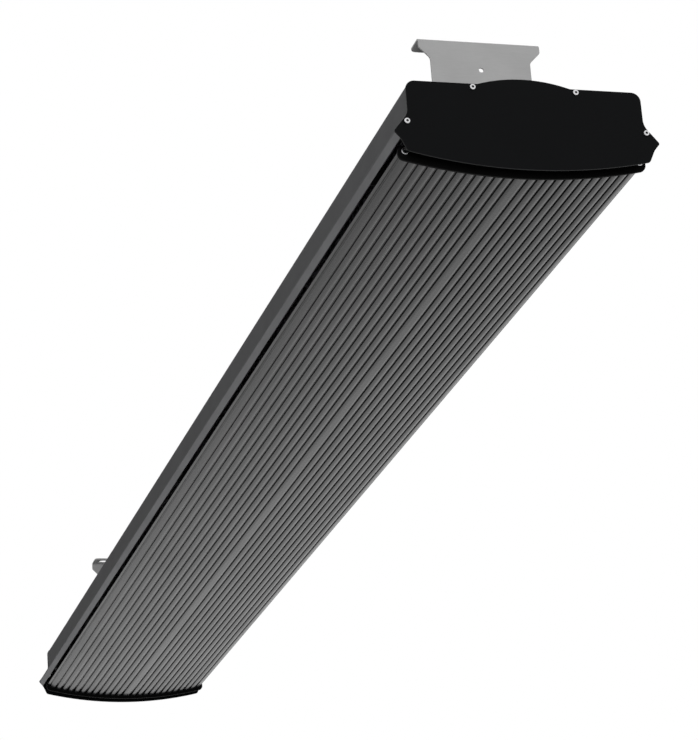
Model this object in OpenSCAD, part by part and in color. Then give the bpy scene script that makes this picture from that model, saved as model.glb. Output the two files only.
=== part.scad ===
// Infrared heater bar. A black aluminium housing is closed below by a ribbed radiant panel and hangs
// from two steel hangers. Each hanger tilts on a foot, and each foot slides along the rail in the
// housing's back. X runs along the bar, Y across it and Z up. The origin is the middle of the right
// hanger's two ceiling slots, on the ceiling plane.

/* [Bar] */
// Length over the two end plates
bar_length = 1450; // [1000:10:1900]
// Width over the tips of an end plate
bar_width = 190; // [184:1:200]
// Sheet thickness of the end plates
plate_t = 1.5; // [1:0.1:2.5]

/* [End plate outline] */
// Height of the shoulder above the tips
shoulder_h = 37.9; // [36:0.1:42]
// Height of the middle hump above the shoulder
hump_h = 5.2; // [4.8:0.1:6]
// Half width of the hump at the shoulder
hump_half = 33.5; // [31:0.5:35]
// Distance from a tip in to the side wall
side_inset = 10.6; // [9:0.1:12]
// Height above the tips where the flare meets the side wall
flare_h = 13; // [11:0.5:15]
// Depth of the lowest point below the tips
keel_drop = 24.1; // [23:0.1:27]
// Depth of a lower corner below the tips
chin_drop = 14.2; // [13:0.1:16]
// Distance from a tip in to a lower corner
chin_inset = 8.6; // [7:0.1:10]
// Radius of the upper corners
top_corner_r = 6.5; // [3:0.5:9]
// Radius of the hollow where the flare meets the side wall
flare_r = 12; // [6:0.5:16]
// Radius of the tips
tip_r = 1.6; // [0.8:0.1:2.5]

/* [Housing] */
// Wall of the housing
wall = 1.8; // [1.2:0.1:2.4]
// How far an end plate stands past the housing all round
rim = 0.3; // [0.2:0.1:1.2]
// Depth of the lips below the tips
lip_drop = 5; // [4:0.1:5.6]
// How far the lips' ends lie out from the housing's inset notches
lip_out = 0.5; // [0:0.1:0.6]
// Half width of the flat land on the rail
land_half = 12; // [10:0.5:16]
// Thickness of the rail's lips
rail_lip = 2.2; // [1.8:0.1:2.4]
// Room round a rail bolt's shank and head in the rail
rail_play = 0.3; // [0.2:0.05:0.6]
// Radius of the tube of metal round a screw port
port_wall_r = 3.2; // [2.6:0.1:3.6]
// Depth of a screw port's axis inside the end plate's edge
port_inset = 2.9; // [2.5:0.05:3]
// Height of the side ports above the tips
side_port_h = 7.1; // [6.5:0.1:8]
// Distance of the upper ports from the middle
top_port_y = 37; // [36:0.1:42]

/* [Radiant panel] */
// Height that the ribbed face gains from its middle to the lines where it turns up
face_rise = 8.4; // [6:0.1:9]
// Height of the ribs' lowest line above the end plates' lowest point
face_set = 2.8; // [2.7:0.1:4]
// Distance from a tip in to the line where the face turns up
turn_inset = 15; // [14.8:0.1:15.4]
// Width of the middle rib, from groove to groove
middle_rib = 10; // [8:0.1:11]
// Grooves on each side of the middle rib
grooves = 13; // [9:1:13]
// Depth of a groove
groove_d = 2.3; // [1.6:0.1:2.6]
// Width of a groove's floor
groove_floor = 1.3; // [0.8:0.1:1.6]
// Width that a groove gains from its floor to its mouth
groove_draft = 0.5; // [0.2:0.1:1]
// Size of the bevels along the ribs
rib_bevel = 0.3; // [0.2:0.05:0.6]
// How far a rib's crown stands out past its edges
rib_crown = 0.5; // [0.2:0.05:0.6]
// Thickness of the panel with its ribs
panel_t = 4.5; // [4:0.1:5]
// Radius that the face turns up with at its edges
edge_r = 11.5; // [11:0.5:13]
// Angle at which the turned-up edge ends
edge_angle = 62; // [56:1:64]
// Distance from a tip in to the panel's screw ports
bead_inset = 11; // [10.6:0.1:11.4]
// Depth of the panel's screw ports below the tips
bead_drop = 8.3; // [8:0.1:8.6]
// Radius of the bead round a screw port
bead_r = 2.6; // [2.5:0.1:3.1]
// Distance from an end plate's outer face to a panel cap's outer face
cap_setback = 15; // [10:0.5:25]
// Thickness of a panel cap
cap_t = 2; // [1.5:0.1:3]
// How far a cap stands below the ribs
cap_proud = 2.7; // [1:0.1:3]
// How far a cap reaches past its screws
cap_reach = 5; // [4.5:0.1:5.4]

/* [Heating elements] */
// Distance between an element and the bolt channel beside it
element_space = 24; // [22:0.5:28]
// Radius of an element's sheath
element_r = 4.25; // [4:0.05:4.5]
// Depth of the elements' axes below the tips
element_drop = 8.6; // [8.4:0.1:9.2]
// Distance from an end plate to the end of a sheath
element_inset = 50; // [46:1:60]
// Half width of the seat that holds an element
seat_half = 13.5; // [12.5:0.5:14]
// Clamps on each element
clamps = 6; // [3:1:9]
// Thickness of a clamp's strap
clamp_t = 1.2; // [0.8:0.1:1.5]
// Width of a clamp along the element
clamp_w = 12; // [8:1:16]
// Distance of a clamp screw from the element's axis
clamp_screw_y = 9.6; // [9:0.1:10]

/* [Inside] */
// Cross bars that carry the panel
cross_bars = 5; // [3:1:7]
// Width of a cross bar
cross_w = 20; // [16:1:26]
// Thickness of a cross bar
cross_t = 3; // [2:0.1:3.5]
// Depth of a cross bar's underside below the tips
cross_drop = 1.2; // [1:0.1:1.5]
// Distance from an end plate to the middle of the nearest cross bar
cross_inset = 75; // [70:1:90]
// Distance from a tip in to the panel's bolt channels
hold_inset = 29; // [28:0.5:31]
// Thickness of the reflector tray
tray_t = 0.8; // [0.5:0.1:1.2]
// Gap between the reflector tray and the housing's side walls
tray_side_gap = 2; // [1:0.5:4]
// Height of the tray's turned-up rims
tray_rim_h = 10; // [6:1:14]
// Thickness of the insulation blanket
blanket_t = 25; // [15:1:26]
// Width of one pole of the terminal block
pole_w = 14; // [12:0.5:16]
// Size of the terminal block along the bar
block_l = 22; // [18:1:26]
// Height of the terminal block
block_h = 19; // [16:1:21]
// Radius of an insulated lead
lead_r = 1.6; // [1.2:0.1:1.8]

/* [Cable gland] */
// Depth of the gland's axis below the inside of the housing's back
gland_set = 20.5; // [18:0.5:22]
// Radius of the gland's thread
gland_r = 10; // [9.5:0.1:10.5]
// Radius of the hole that takes the supply cable
gland_bore_r = 5; // [4:0.1:5.5]

/* [Hangers] */
// Width of a hanger at the ceiling
hanger_w = 91; // [88:1:100]
// How far a hanger's ears stand out at each side
ear_out = 8.1; // [6:0.1:11]
// Sheet thickness of a hanger
hanger_t = 1.5; // [1.2:0.1:2]
// Depth of a hanger's flange along the bar
flange_d = 20; // [19:0.5:26]
// Width of a ceiling slot
ceiling_slot_w = 9; // [6:0.5:9]
// Length of a ceiling slot
ceiling_slot_l = 24; // [16:1:26]
// Distance of a slot's outer end from the flange's side
slot_margin = 5.5; // [4:0.5:8]
// Height of a hanger's ears
ear_h = 7; // [5:0.5:9]
// Depth of the ears' slanted edge
ear_slant_h = 8.2; // [6:0.2:10]
// Radius of the small hole in the web
tether_r = 1.8; // [1.5:0.1:2.5]
// Depth of the small hole below the ceiling
tether_drop = 23; // [20:0.5:24]
// Distance from the ceiling down to the tilting axis
pivot_drop = 43; // [38:1:80]
// Distance from the right end plate to the right hanger's web
right_setback = 80; // [70:1:200]
// Distance from the left end plate to the left hanger's web
left_setback = 86; // [70:1:200]
// Steepest tilt of the bar to either side
tilt_max = 45; // [20:1:45]

/* [Feet] */
// Height of the lock bolts above the feet's bases
lock_rise = 8.75; // [8.25:0.25:14]
// Gap between a hanger's lower edge and the end plates' humps
hanger_clear = 1.9; // [1.5:0.1:3]
// Radius of the pivot bolts and the rail bolts
bolt_r = 4; // [3.9:0.05:4]
// Radius of the lock bolts
lock_r = 3; // [2.5:0.1:3]
// Distance of a lock bolt from the pivot
lock_arm = 17; // [16.5:0.1:17.5]
// Sheet thickness of a foot
foot_t = 2.5; // [2:0.1:3]
// Length of a foot's base along the bar
foot_l = 36; // [34:1:44]
// Width of a foot
foot_w = 36; // [34:1:40]

/* [Hidden] */

// Overrun of cuts
over = 1;
// Width across the flats and depth of the socket in a small screw's head
small_socket_af = 2;
small_socket_d = 1;
// Small gap between pieces that rest on each other
seat_gap = 0.05;
// Gap round pieces that slide
slide_gap = 0.15;
// Radial gap round a shaft that turns
run_gap = 0.06;
// Radial gap round a screw in its hole
screw_gap = 0.2;
// Steps of a round corner
corner_steps = 8;
// Sides of a round hole or shaft
round_fn = 40;

// Outline of the end plates
tip_half = bar_width / 2;
side_half = tip_half - side_inset;
hump_top = shoulder_h + hump_h;
hump_r = (hump_h * hump_h + hump_half * hump_half) / (2 * hump_h);
hump_steps = 12;
hump_step_share = 0.82;
hump_foot_r = 5;
chin_half = tip_half - chin_inset;
chin_r = 3;
notch_out = 4.5;
notch_drop = 5.3;
notch_r = 15;
keel_rise = keel_drop - chin_drop;
keel_r = (keel_rise * keel_rise + chin_half * chin_half) / (2 * keel_rise);
keel_steps = 24;
keel_step_share = 0.92;

// Housing
inner_x = plate_t;
rail_side_drop = 1.5;
land_h = hump_top - rail_side_drop;
lip_end_half = tip_half - notch_out;
mouth_half = lip_end_half - rim + lip_out;
lip_channel_top = land_h - rail_lip;
rail_head_w = 13;
rail_head_h = 4;
slot_w = 2 * (bolt_r + rail_play);
channel_w = rail_head_w + 2 * rail_play;
channel_h = rail_head_h + 2 * rail_play;
channel_floor = lip_channel_top - channel_h;
housing_under = shoulder_h - rim - wall;
plate_screw_r = 1.25;
plate_screw_l = 12;
plate_head_r = 2;
plate_head_h = 1.5;
plate_socket_af = 1.5;
plate_socket_d = 1;
top_port_h = shoulder_h - port_inset;
flare_slant = norm([side_inset, flare_h]);
side_port_y = side_half + side_inset * (1 - side_port_h / flare_h) - port_inset * flare_slant / flare_h;
ports = [[top_port_y, top_port_h], [-top_port_y, top_port_h],
         [side_port_y, side_port_h], [-side_port_y, side_port_h]];

// Radiant panel
cap_back = cap_setback + cap_t;
panel_x = cap_back + seat_gap;
face_drop = keel_drop - face_set;
bead_y = tip_half - bead_inset;
hold_y = tip_half - hold_inset;
element_y = hold_y - element_space;
turn_half = tip_half - turn_inset;
panel_r = (turn_half * turn_half + face_rise * face_rise) / (2 * face_rise);
edge_start_angle = asin(turn_half / panel_r);
edge_start = panel_r * edge_start_angle * PI / 180;
rib_pitch = (edge_start - middle_rib / 2) / (grooves - 2);
edge_end = edge_start + edge_r * (edge_angle - edge_start_angle) * PI / 180;
face_steps = 20;
block_sink = panel_t / 5;
edge_groove_r = 0.8;
crown_steps = 6;
edge_steps = 5;
cap_screw_r = 1.25;
cap_screw_l = 12;
cap_head_r = 2.5;
cap_head_h = 1.8;
cap_top_drop = bead_drop - cap_reach;
cap_steps = 24;
cap_corner_share = 0.5;

// Elements, their seats and clamps
element_gap = 0.1;
seat_set = 3;
seat_inset = element_inset + seat_set;
sheath_length = bar_length - 2 * element_inset;
pin_r = 1.25;
pin_l = 14;
pin_root = 6;
bead_collar_r = 3;
bead_collar_l = 4;
clamp_margin = 70;
clamp_step = (sheath_length - 2 * clamp_margin) / (clamps - 1);
clamp_xs = [for (i = [0:clamps - 1]) -element_inset - clamp_margin - i * clamp_step];
clamp_screw_r = 1.45;
clamp_screw_l = 6;
clamp_head_r = 2.6;
clamp_head_h = 1.7;
clamp_hug = 0.1;

// Bolt channels of the panel
hold_w = 15;
hold_lip = 1.8;
hold_slot = 5.6;
hold_inner_w = 10.4;
hold_inner_h = 4.3;
hold_bolt_r = 2.5;
hold_head_w = 10;
hold_head_h = 4;
hold_bolt_end = 8;
hold_nut_af = 8;
hold_nut_h = 4;
isolator_r = 6;
isolator_t = 3;
hold_top_drop = cross_drop + isolator_t + seat_gap;

// Tray and blanket
cross_top = cross_t - cross_drop;
cross_step = (bar_length - 2 * cross_inset) / (cross_bars - 1);
cross_xs = [for (i = [0:cross_bars - 1]) -cross_inset - i * cross_step];
cross_edge_gap = 0.8;
tray_half = side_half - rim - wall - tray_side_gap;
tray_z = cross_top + seat_gap;
tray_top = tray_z + tray_t;
tray_end = 22;
blanket_side = 2;
blanket_half = tray_half - tray_t - blanket_side;
blanket_x = 34;
pocket_r = 7;

// Connection room
poles = 3;
block_clear = 8;
block_x = -(bar_length - cross_inset - cross_w / 2 - block_clear);
block_w = poles * pole_w;
block_feet = 7;
block_foot_h = 5;
block_hole_gap = 0.4;
block_hole_r = lead_r + block_hole_gap;
block_hole_h = 9;
block_z = tray_top + seat_gap;
block_screw_r = 2.4;
block_screw_h = 4;
block_screw_slot = 0.8;
fixing_r = 1.5;
fixing_head_r = 2.8;
fixing_head_h = 1.8;
fixing_l = 8;
cut_out_ahead = 15;
cut_out_x = block_x + cut_out_ahead;
cut_out_inset = 28;
cut_out_y = -(tray_half - cut_out_inset);
room_ahead = 22;
room_x = cut_out_x + room_ahead;
cut_out_r = 8;
cut_out_h = 10;
cut_out_flange_l = 28;
cut_out_flange_w = 14;
cut_out_flange_t = 1.2;
cut_out_screw_y = 11.2;
tab_w = 4.8;
tab_t = 0.8;
tab_l = 9;
tab_x = 4;
stud_set = 12;
stud_x = room_x - stud_set;
stud_beside = 14.6;
stud_y = top_port_y + stud_beside;
stud_r = 2;
stud_l = 10;
stud_nut_af = 7;
stud_nut_h = 3.2;
tag_t = 0.8;
tag_r = 4;
tag_l = 10;
bush_inset = 42;
bush_x = -(bar_length - bush_inset);
bush_y = 24;
bush_r = 3.4;
bush_collar_r = 4.6;
bush_collar_h = 1.2;
bush_drop = 2;
bush_rise = 2.4;
bush_gap = 0.5;

// Leads
lead_sides = 8;
lead_steps = 4;
lead_push = 2;
tab_gap = 0.4;

// Cable gland
gland_h = housing_under - gland_set;
gland_collar_af = 24;
gland_collar_h = 6;
gland_thread_in = 9;
gland_thread_out = 10;
seal_tail_wall = 1.6;
gland_passage_r = gland_bore_r + seal_tail_wall;
locknut_af = 26;
locknut_h = 5;
dome_af = 22;
dome_h = 18;
dome_mouth_gap = 1;
dome_mouth_r = gland_bore_r + dome_mouth_gap;
dome_gap = 0.5;
dome_start = gland_collar_h + dome_gap;
dome_face = 2;
seal_wall = 2.2;
seal_l = 11;
gland_thread_r = 8.6;

// Hangers
pivot_h = land_h + slide_gap + foot_t + lock_rise + lock_arm;
tip_drop = pivot_h + pivot_drop;
waist_half = hanger_w / 2 - ear_out;
slot_edge = 4.5;
slot_x = flange_d - slot_edge - ceiling_slot_w / 2;
slot_y = hanger_w / 2 - slot_margin - ceiling_slot_l / 2;
bend_in_r = 1.5;
bend_out_r = bend_in_r + hanger_t;
flange_corner_r = 4;
ear_r = 2.5;
waist_r = 5;
web_foot_r = pivot_h - hump_top - hanger_clear;
web_foot_angle = 42;
web_foot_steps = 12;
web_side_drop = 2;
web_side_h = pivot_h - web_side_drop;
web_side_r = 8;
arc_slot_gap = 0.3;
arc_slot_r = lock_r + arc_slot_gap;
arc_slot_steps = 16;
web_gap = 0.2;

// Feet
foot_up_r = 14;
foot_bend_in_r = 2;
foot_bend_out_r = foot_bend_in_r + foot_t;
foot_corner_r = 4;
foot_z = land_h + slide_gap;
rail_bolt_set = 20;
rail_bolt_x = foot_t + rail_bolt_set;
rail_bolt_top = 11;
bolt_head_af = 13;
bolt_head_h = 5.3;
bolt_nut_h = 6.5;
washer_r = 8;
washer_t = 1.6;
lock_head_af = 10;
lock_head_h = 4;
lock_nut_h = 5;
bolt_tail = 2;

// The bar's own frame has its origin on the right end plate's outer face, level with the tips
frame_x = right_setback + slot_x;
module in_bar() {
    translate([frame_x, 0, -tip_drop]) children();
}

// Outline helpers
function unit(v) = v / norm(v);
function flat(p) = [p[0], p[1]];
function around(pts, i) = pts[(i + len(pts)) % len(pts)];
function left_of(v) = [-v[1], v[0]];
function mirrored(pts) = [for (i = [len(pts) - 1:-1:0]) [-pts[i][0], pts[i][1], pts[i][2]]];
function both_sides(half) = concat(half, mirrored(half));
function turned(a) = a > 180 ? a - 360 : (a < -180 ? a + 360 : a);

// Points of the arc that rounds the corner b between a and c
function fillet(a, b, c, r) = r <= 0 ? [b] :
    let (u = unit(a - b), w = unit(c - b), half = acos(u * w) / 2,
         centre = b + unit(u + w) * r / sin(half), p = b + u * r / tan(half), q = b + w * r / tan(half),
         start = atan2(p[1] - centre[1], p[0] - centre[0]),
         sweep = turned(atan2(q[1] - centre[1], q[0] - centre[0]) - start))
    [for (k = [0:corner_steps]) centre + r * [cos(start + sweep * k / corner_steps),
                                              sin(start + sweep * k / corner_steps)]];
function rounded(pts) = [for (i = [0:len(pts) - 1])
    each fillet(flat(around(pts, i - 1)), flat(pts[i]), flat(around(pts, i + 1)), pts[i][2])];

// A corner of an outline moved in by a wall, with the corner's radius changed to match
function inset_corner(a, b, c, r, d) =
    let (m = left_of(unit(b - a)), n = left_of(unit(c - b)), turn = cross(b - a, c - b),
         p = b + (m + n) * d / (1 + m * n))
    [p[0], p[1], r <= 0 ? 0 : (turn > 0 ? max(r - d, 0) : r + d)];
function inset(pts, d) = [for (i = [0:len(pts) - 1])
    inset_corner(flat(around(pts, i - 1)), flat(pts[i]), flat(around(pts, i + 1)), pts[i][2], d)];

// Solids that run along X
module along_x(x0, x1) {
    translate([x0, 0, 0]) rotate([90, 0, 90]) linear_extrude(x1 - x0) children();
}
module rod_x(x0, x1, y, z, r) {
    translate([x0, y, z]) rotate([0, 90, 0]) cylinder(h = x1 - x0, r = r, $fn = round_fn);
}
module hex_x(x0, x1, y, z, af) {
    translate([x0, y, z]) rotate([0, 90, 0]) cylinder(h = x1 - x0, r = af / sqrt(3), $fn = 6);
}
module rod_z(z0, z1, x, y, r) {
    translate([x, y, z0]) cylinder(h = z1 - z0, r = r, $fn = round_fn);
}
module hex_z(z0, z1, x, y, af) {
    translate([x, y, z0]) cylinder(h = z1 - z0, r = af / sqrt(3), $fn = 6);
}
module box(x0, x1, y0, y1, z0, z1) {
    translate([x0, y0, z0]) cube([x1 - x0, y1 - y0, z1 - z0]);
}

// Places that repeat
module at_left_end() {
    translate([-bar_length, 0, 0]) rotate([0, 0, 180]) children();
}

// Outline of an end plate
function plate_half() = concat(
    [for (i = [0:keel_steps]) let (y = chin_half * keel_step_share * i / keel_steps)
        [y, -keel_drop + keel_r - sqrt(keel_r * keel_r - y * y), 0]],
    [[chin_half, -chin_drop, chin_r], [tip_half - notch_out, -notch_drop, notch_r],
     [tip_half, 0, tip_r], [side_half, flare_h, flare_r],
     [side_half, shoulder_h, top_corner_r], [hump_half, shoulder_h, hump_foot_r]],
    [for (i = [0:hump_steps - 1]) let (y = hump_half * hump_step_share * (1 - i / hump_steps))
        [y, hump_top - hump_r + sqrt(hump_r * hump_r - y * y), 0]]);
function without_first(pts) = [for (i = [1:len(pts) - 1]) pts[i]];
plate_outline = rounded(concat([plate_half()[0]], without_first(plate_half()), [[0, hump_top, 0]],
                               mirrored(without_first(plate_half()))));

module plate_sheet() {
    difference() {
        along_x(-plate_t, 0) polygon(plate_outline);
        for (p = ports) rod_x(-plate_t - over, over, p[0], p[1], plate_screw_r + screw_gap);
    }
}
module right_end_plate() {
    color([0.09, 0.09, 0.09]) in_bar() plate_sheet();
}
module left_end_plate() {
    color([0.09, 0.09, 0.09]) in_bar() difference() {
        at_left_end() plate_sheet();
        rod_x(-bar_length - over, -bar_length + plate_t + over, 0, gland_h, gland_r + screw_gap);
    }
}

// Socket-head screw that points along -X, with its head's seat at x = 0
module socket_screw(r, l, head_r, head_h, socket_af, socket_d) {
    difference() {
        union() {
            rod_x(-l, seat_gap, 0, 0, r);
            rod_x(seat_gap, seat_gap + head_h, 0, 0, head_r);
        }
        hex_x(seat_gap + head_h - socket_d, seat_gap + head_h + over, 0, 0, socket_af);
    }
}
module plate_screws() {
    for (p = ports)
        translate([0, p[0], p[1]])
            socket_screw(plate_screw_r, plate_screw_l, plate_head_r, plate_head_h,
                         plate_socket_af, plate_socket_d);
}
module right_plate_screws() {
    color([0.75, 0.75, 0.76]) in_bar() plate_screws();
}
module left_plate_screws() {
    color([0.75, 0.75, 0.76]) in_bar() at_left_end() plate_screws();
}

// Housing
rail_foot_half = hump_half - rail_side_drop;
side_outline = [
    [mouth_half, -lip_drop, 0], [tip_half - rim, 0, tip_r], [side_half - rim, flare_h, flare_r],
    [side_half - rim, shoulder_h - rim, top_corner_r]
];
housing_half = concat(side_outline, [[rail_foot_half, shoulder_h - rim, 0], [land_half, land_h, 0]]);
cavity_half = concat(side_outline, [[channel_w / 2 + wall, shoulder_h - rim, 0],
                                    [channel_w / 2 + wall, channel_floor, 0]]);
module housing_section() {
    difference() {
        polygon(rounded(both_sides(housing_half)));
        polygon(rounded(inset(both_sides(cavity_half), wall)));
        translate([-mouth_half, -lip_drop - over]) square([2 * mouth_half, wall + 2 * over]);
        translate([-slot_w / 2, lip_channel_top - over]) square([slot_w, rail_lip + 2 * over]);
        translate([-channel_w / 2, channel_floor]) square([channel_w, channel_h]);
    }
}
module housing() {
    color([0.17, 0.17, 0.18]) in_bar() difference() {
        union() {
            along_x(-bar_length + inner_x, -inner_x) housing_section();
            intersection() {
                for (p = ports) rod_x(-bar_length + inner_x, -inner_x, p[0], p[1], port_wall_r);
                along_x(-bar_length + inner_x, -inner_x) polygon(rounded(both_sides(housing_half)));
            }
        }
        for (p = ports) rod_x(-bar_length, 0, p[0], p[1], plate_screw_r + run_gap);
    }
}

// Ribbed face: s is the distance along the face from its lowest line, and d the depth into the panel
function face_point(s, d) =
    let (a = s / panel_r * 180 / PI, e = edge_start_angle + (s - edge_start) / edge_r * 180 / PI)
    s <= edge_start
    ? [(panel_r - d) * sin(a), -face_drop + panel_r - (panel_r - d) * cos(a)]
    : [(panel_r - edge_r) * sin(edge_start_angle) + (edge_r - d) * sin(e),
       -face_drop + panel_r - (panel_r - edge_r) * cos(edge_start_angle) - (edge_r - d) * cos(e)];
groove_half = (groove_floor + groove_draft) / 2;
crown_half = rib_pitch / 2 - groove_half - rib_bevel;
function groove_points(s) = let (m = groove_half, f = groove_floor / 2, d = rib_crown + rib_bevel)
    [face_point(s - m - rib_bevel, rib_crown), face_point(s - m, d), face_point(s - f, groove_d),
     face_point(s + f, groove_d), face_point(s + m, d), face_point(s + m + rib_bevel, rib_crown)];
// Points across a rib's crown, which lies before a groove at s. The middle rib has only the last half.
function crown_points(s, first) = [for (i = [first:crown_steps - 1]) let (u = 2 * i / crown_steps - 1)
    face_point(s - rib_pitch / 2 + u * crown_half, rib_crown * u * u)];
function mirror_points(pts) = [for (i = [len(pts) - 1:-1:0]) [-pts[i][0], pts[i][1]]];
last_groove = middle_rib / 2 + (grooves - 1) * rib_pitch;
edge_run = edge_end - edge_start;
tail_run = edge_run - groove_floor - groove_draft;
ribbed_half = concat([for (i = [0:grooves - 2]) let (s = middle_rib / 2 + i * rib_pitch)
                          each concat(crown_points(s, i == 0 ? crown_steps / 2 : 1), groove_points(s))],
                     [for (i = [1:edge_steps]) face_point(edge_end - tail_run * (1 - i / edge_steps), 0)]);
back_half = concat([for (i = [edge_steps:-1:1]) face_point(edge_start + edge_run * i / edge_steps, panel_t)],
                   [for (i = [face_steps:-1:1]) face_point(edge_start * i / face_steps, panel_t)]);
panel_half = concat(ribbed_half, back_half);
edge_groove = face_point(last_groove, 0);
panel_outline = concat([face_point(0, 0)], panel_half, [face_point(0, panel_t)], mirror_points(panel_half));
function face_back_z(y) = -face_drop + panel_r - sqrt(pow(panel_r - panel_t, 2) - y * y);

module panel_block(y, half, top, x_inset) {
    a = y - half;
    b = y + half;
    along_x(-bar_length + x_inset, -x_inset)
        polygon([[a, face_back_z(a) - block_sink], [b, face_back_z(b) - block_sink], [b, top], [a, top]]);
}
module radiant_panel() {
    color([0.2, 0.2, 0.2]) in_bar() difference() {
        union() {
            along_x(-bar_length + panel_x, -panel_x) polygon(panel_outline);
            for (side = [-1, 1]) {
                panel_block(side * element_y, seat_half, -element_drop, seat_inset);
                panel_block(side * hold_y, hold_w / 2, -hold_top_drop, panel_x);
                rod_x(-bar_length + panel_x, -panel_x, side * bead_y, -bead_drop, bead_r);
            }
        }
        for (side = [-1, 1]) {
            rod_x(-bar_length, 0, side * element_y, -element_drop, element_r + element_gap);
            rod_x(-bar_length, 0, side * bead_y, -bead_drop, cap_screw_r + run_gap);
            rod_x(-bar_length, 0, side * edge_groove[0], edge_groove[1], edge_groove_r);
            box(-bar_length, 0, side * hold_y - hold_slot / 2, side * hold_y + hold_slot / 2,
                -hold_top_drop - hold_lip - over, -hold_top_drop + over);
            box(-bar_length, 0, side * hold_y - hold_inner_w / 2, side * hold_y + hold_inner_w / 2,
                -hold_top_drop - hold_lip - hold_inner_h, -hold_top_drop - hold_lip);
            for (x = clamp_xs)
                for (dy = [-clamp_screw_y, clamp_screw_y])
                    rod_z(-element_drop - clamp_screw_l - seat_gap, -element_drop + over,
                          x, side * element_y + dy, clamp_screw_r + run_gap);
        }
    }
}

// Panel caps
cap_face_r = panel_r + cap_proud;
cap_half = bead_y + cap_reach;
function cap_face_z(y) = -face_drop - cap_proud + cap_face_r - sqrt(cap_face_r * cap_face_r - y * y);
cap_corner_r = min(cap_reach, cap_corner_share * (-cap_top_drop - cap_face_z(cap_half)));
cap_outline = concat(
    [for (i = [0:cap_steps]) let (y = -cap_half + 2 * cap_half * i / cap_steps)
        [y, cap_face_z(y), i % cap_steps == 0 ? cap_corner_r : 0]],
    [[cap_half, -cap_top_drop, cap_corner_r], [-cap_half, -cap_top_drop, cap_corner_r]]);
module cap_sheet() {
    difference() {
        along_x(-cap_back, -cap_setback) polygon(rounded(cap_outline));
        for (side = [-1, 1])
            rod_x(-cap_back - over, -cap_setback + over, side * bead_y, -bead_drop, cap_screw_r + screw_gap);
    }
}
module cap_screws() {
    for (side = [-1, 1])
        translate([-cap_setback, side * bead_y, -bead_drop])
            socket_screw(cap_screw_r, cap_screw_l, cap_head_r, cap_head_h, small_socket_af, small_socket_d);
}
module right_panel_cap() {
    color([0.05, 0.05, 0.05]) in_bar() cap_sheet();
}
module left_panel_cap() {
    color([0.05, 0.05, 0.05]) in_bar() at_left_end() cap_sheet();
}
module right_cap_screws() {
    color([0.75, 0.75, 0.76]) in_bar() cap_screws();
}
module left_cap_screws() {
    color([0.75, 0.75, 0.76]) in_bar() at_left_end() cap_screws();
}

// Heating elements
module element(y) {
    in_bar() difference() {
        rod_x(-bar_length + element_inset, -element_inset, y, -element_drop, element_r);
        for (x = [-element_inset, -bar_length + element_inset])
            rod_x(x - pin_root, x + pin_root, y, -element_drop, bead_collar_r + seat_gap);
    }
}
module front_element() {
    color([0.42, 0.43, 0.4]) element(-element_y);
}
module rear_element() {
    color([0.42, 0.43, 0.4]) element(element_y);
}
module at_element_ends() {
    in_bar() for (side = [-1, 1]) {
        translate([-element_inset, side * element_y, -element_drop]) children();
        translate([-bar_length + element_inset, side * element_y, -element_drop])
            rotate([0, 0, 180]) children();
    }
}
module element_pins() {
    color([0.7, 0.68, 0.6]) at_element_ends() rod_x(-pin_root, pin_l, 0, 0, pin_r);
}
module element_beads() {
    color([0.93, 0.92, 0.88]) at_element_ends() difference() {
        rod_x(-pin_root, bead_collar_l, 0, 0, bead_collar_r);
        rod_x(-pin_root - over, bead_collar_l + over, 0, 0, pin_r + seat_gap);
    }
}
clamp_in_r = element_r + clamp_hug;
clamp_out_r = clamp_in_r + clamp_t;
module clamp() {
    translate([-clamp_w / 2, 0, 0]) difference() {
        union() {
            difference() {
                rod_x(0, clamp_w, 0, 0, clamp_out_r);
                rod_x(-over, clamp_w + over, 0, 0, clamp_in_r);
                box(-over, clamp_w + over, -clamp_out_r - over, clamp_out_r + over,
                    -clamp_out_r - over, seat_gap);
            }
            for (side = [-1, 1])
                translate([0, side > 0 ? clamp_in_r : -seat_half, seat_gap])
                    cube([clamp_w, seat_half - clamp_in_r, clamp_t]);
        }
        for (side = [-1, 1])
            rod_z(-over, clamp_t + over, clamp_w / 2, side * clamp_screw_y, clamp_screw_r + screw_gap);
    }
}
module at_clamps() {
    in_bar() for (side = [-1, 1])
        for (x = clamp_xs) translate([x, side * element_y, -element_drop]) children();
}
module element_clamps() {
    color([0.6, 0.6, 0.6]) at_clamps() clamp();
}
module clamp_screws() {
    color([0.7, 0.7, 0.7]) at_clamps() for (side = [-1, 1])
        translate([0, side * clamp_screw_y, seat_gap + clamp_t]) rotate([0, -90, 0])
            socket_screw(clamp_screw_r, clamp_screw_l, clamp_head_r, clamp_head_h,
                         small_socket_af, small_socket_d);
}

// Cross bars, which rest in the hollows behind the tips, and what hangs from them
cross_half = tip_half - rim - wall - cross_edge_gap - wall;
module at_holds() {
    in_bar() for (x = cross_xs)
        for (side = [-1, 1]) translate([x, side * hold_y, 0]) children();
}
module cross_bars() {
    color([0.05, 0.05, 0.05]) difference() {
        in_bar() for (x = cross_xs)
            box(x - cross_w / 2, x + cross_w / 2, -cross_half, cross_half, -cross_drop, cross_top);
        at_holds() rod_z(-cross_drop - over, cross_top + over, 0, 0, hold_bolt_r + screw_gap);
    }
}
module panel_bolts() {
    head_top = -hold_top_drop - hold_lip - seat_gap;
    color([0.7, 0.7, 0.72]) at_holds() union() {
        rod_z(head_top - hold_head_h / 2, hold_bolt_end, 0, 0, hold_bolt_r);
        box(-hold_head_w / 2, hold_head_w / 2, -hold_head_w / 2, hold_head_w / 2,
            head_top - hold_head_h, head_top);
    }
}
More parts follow.
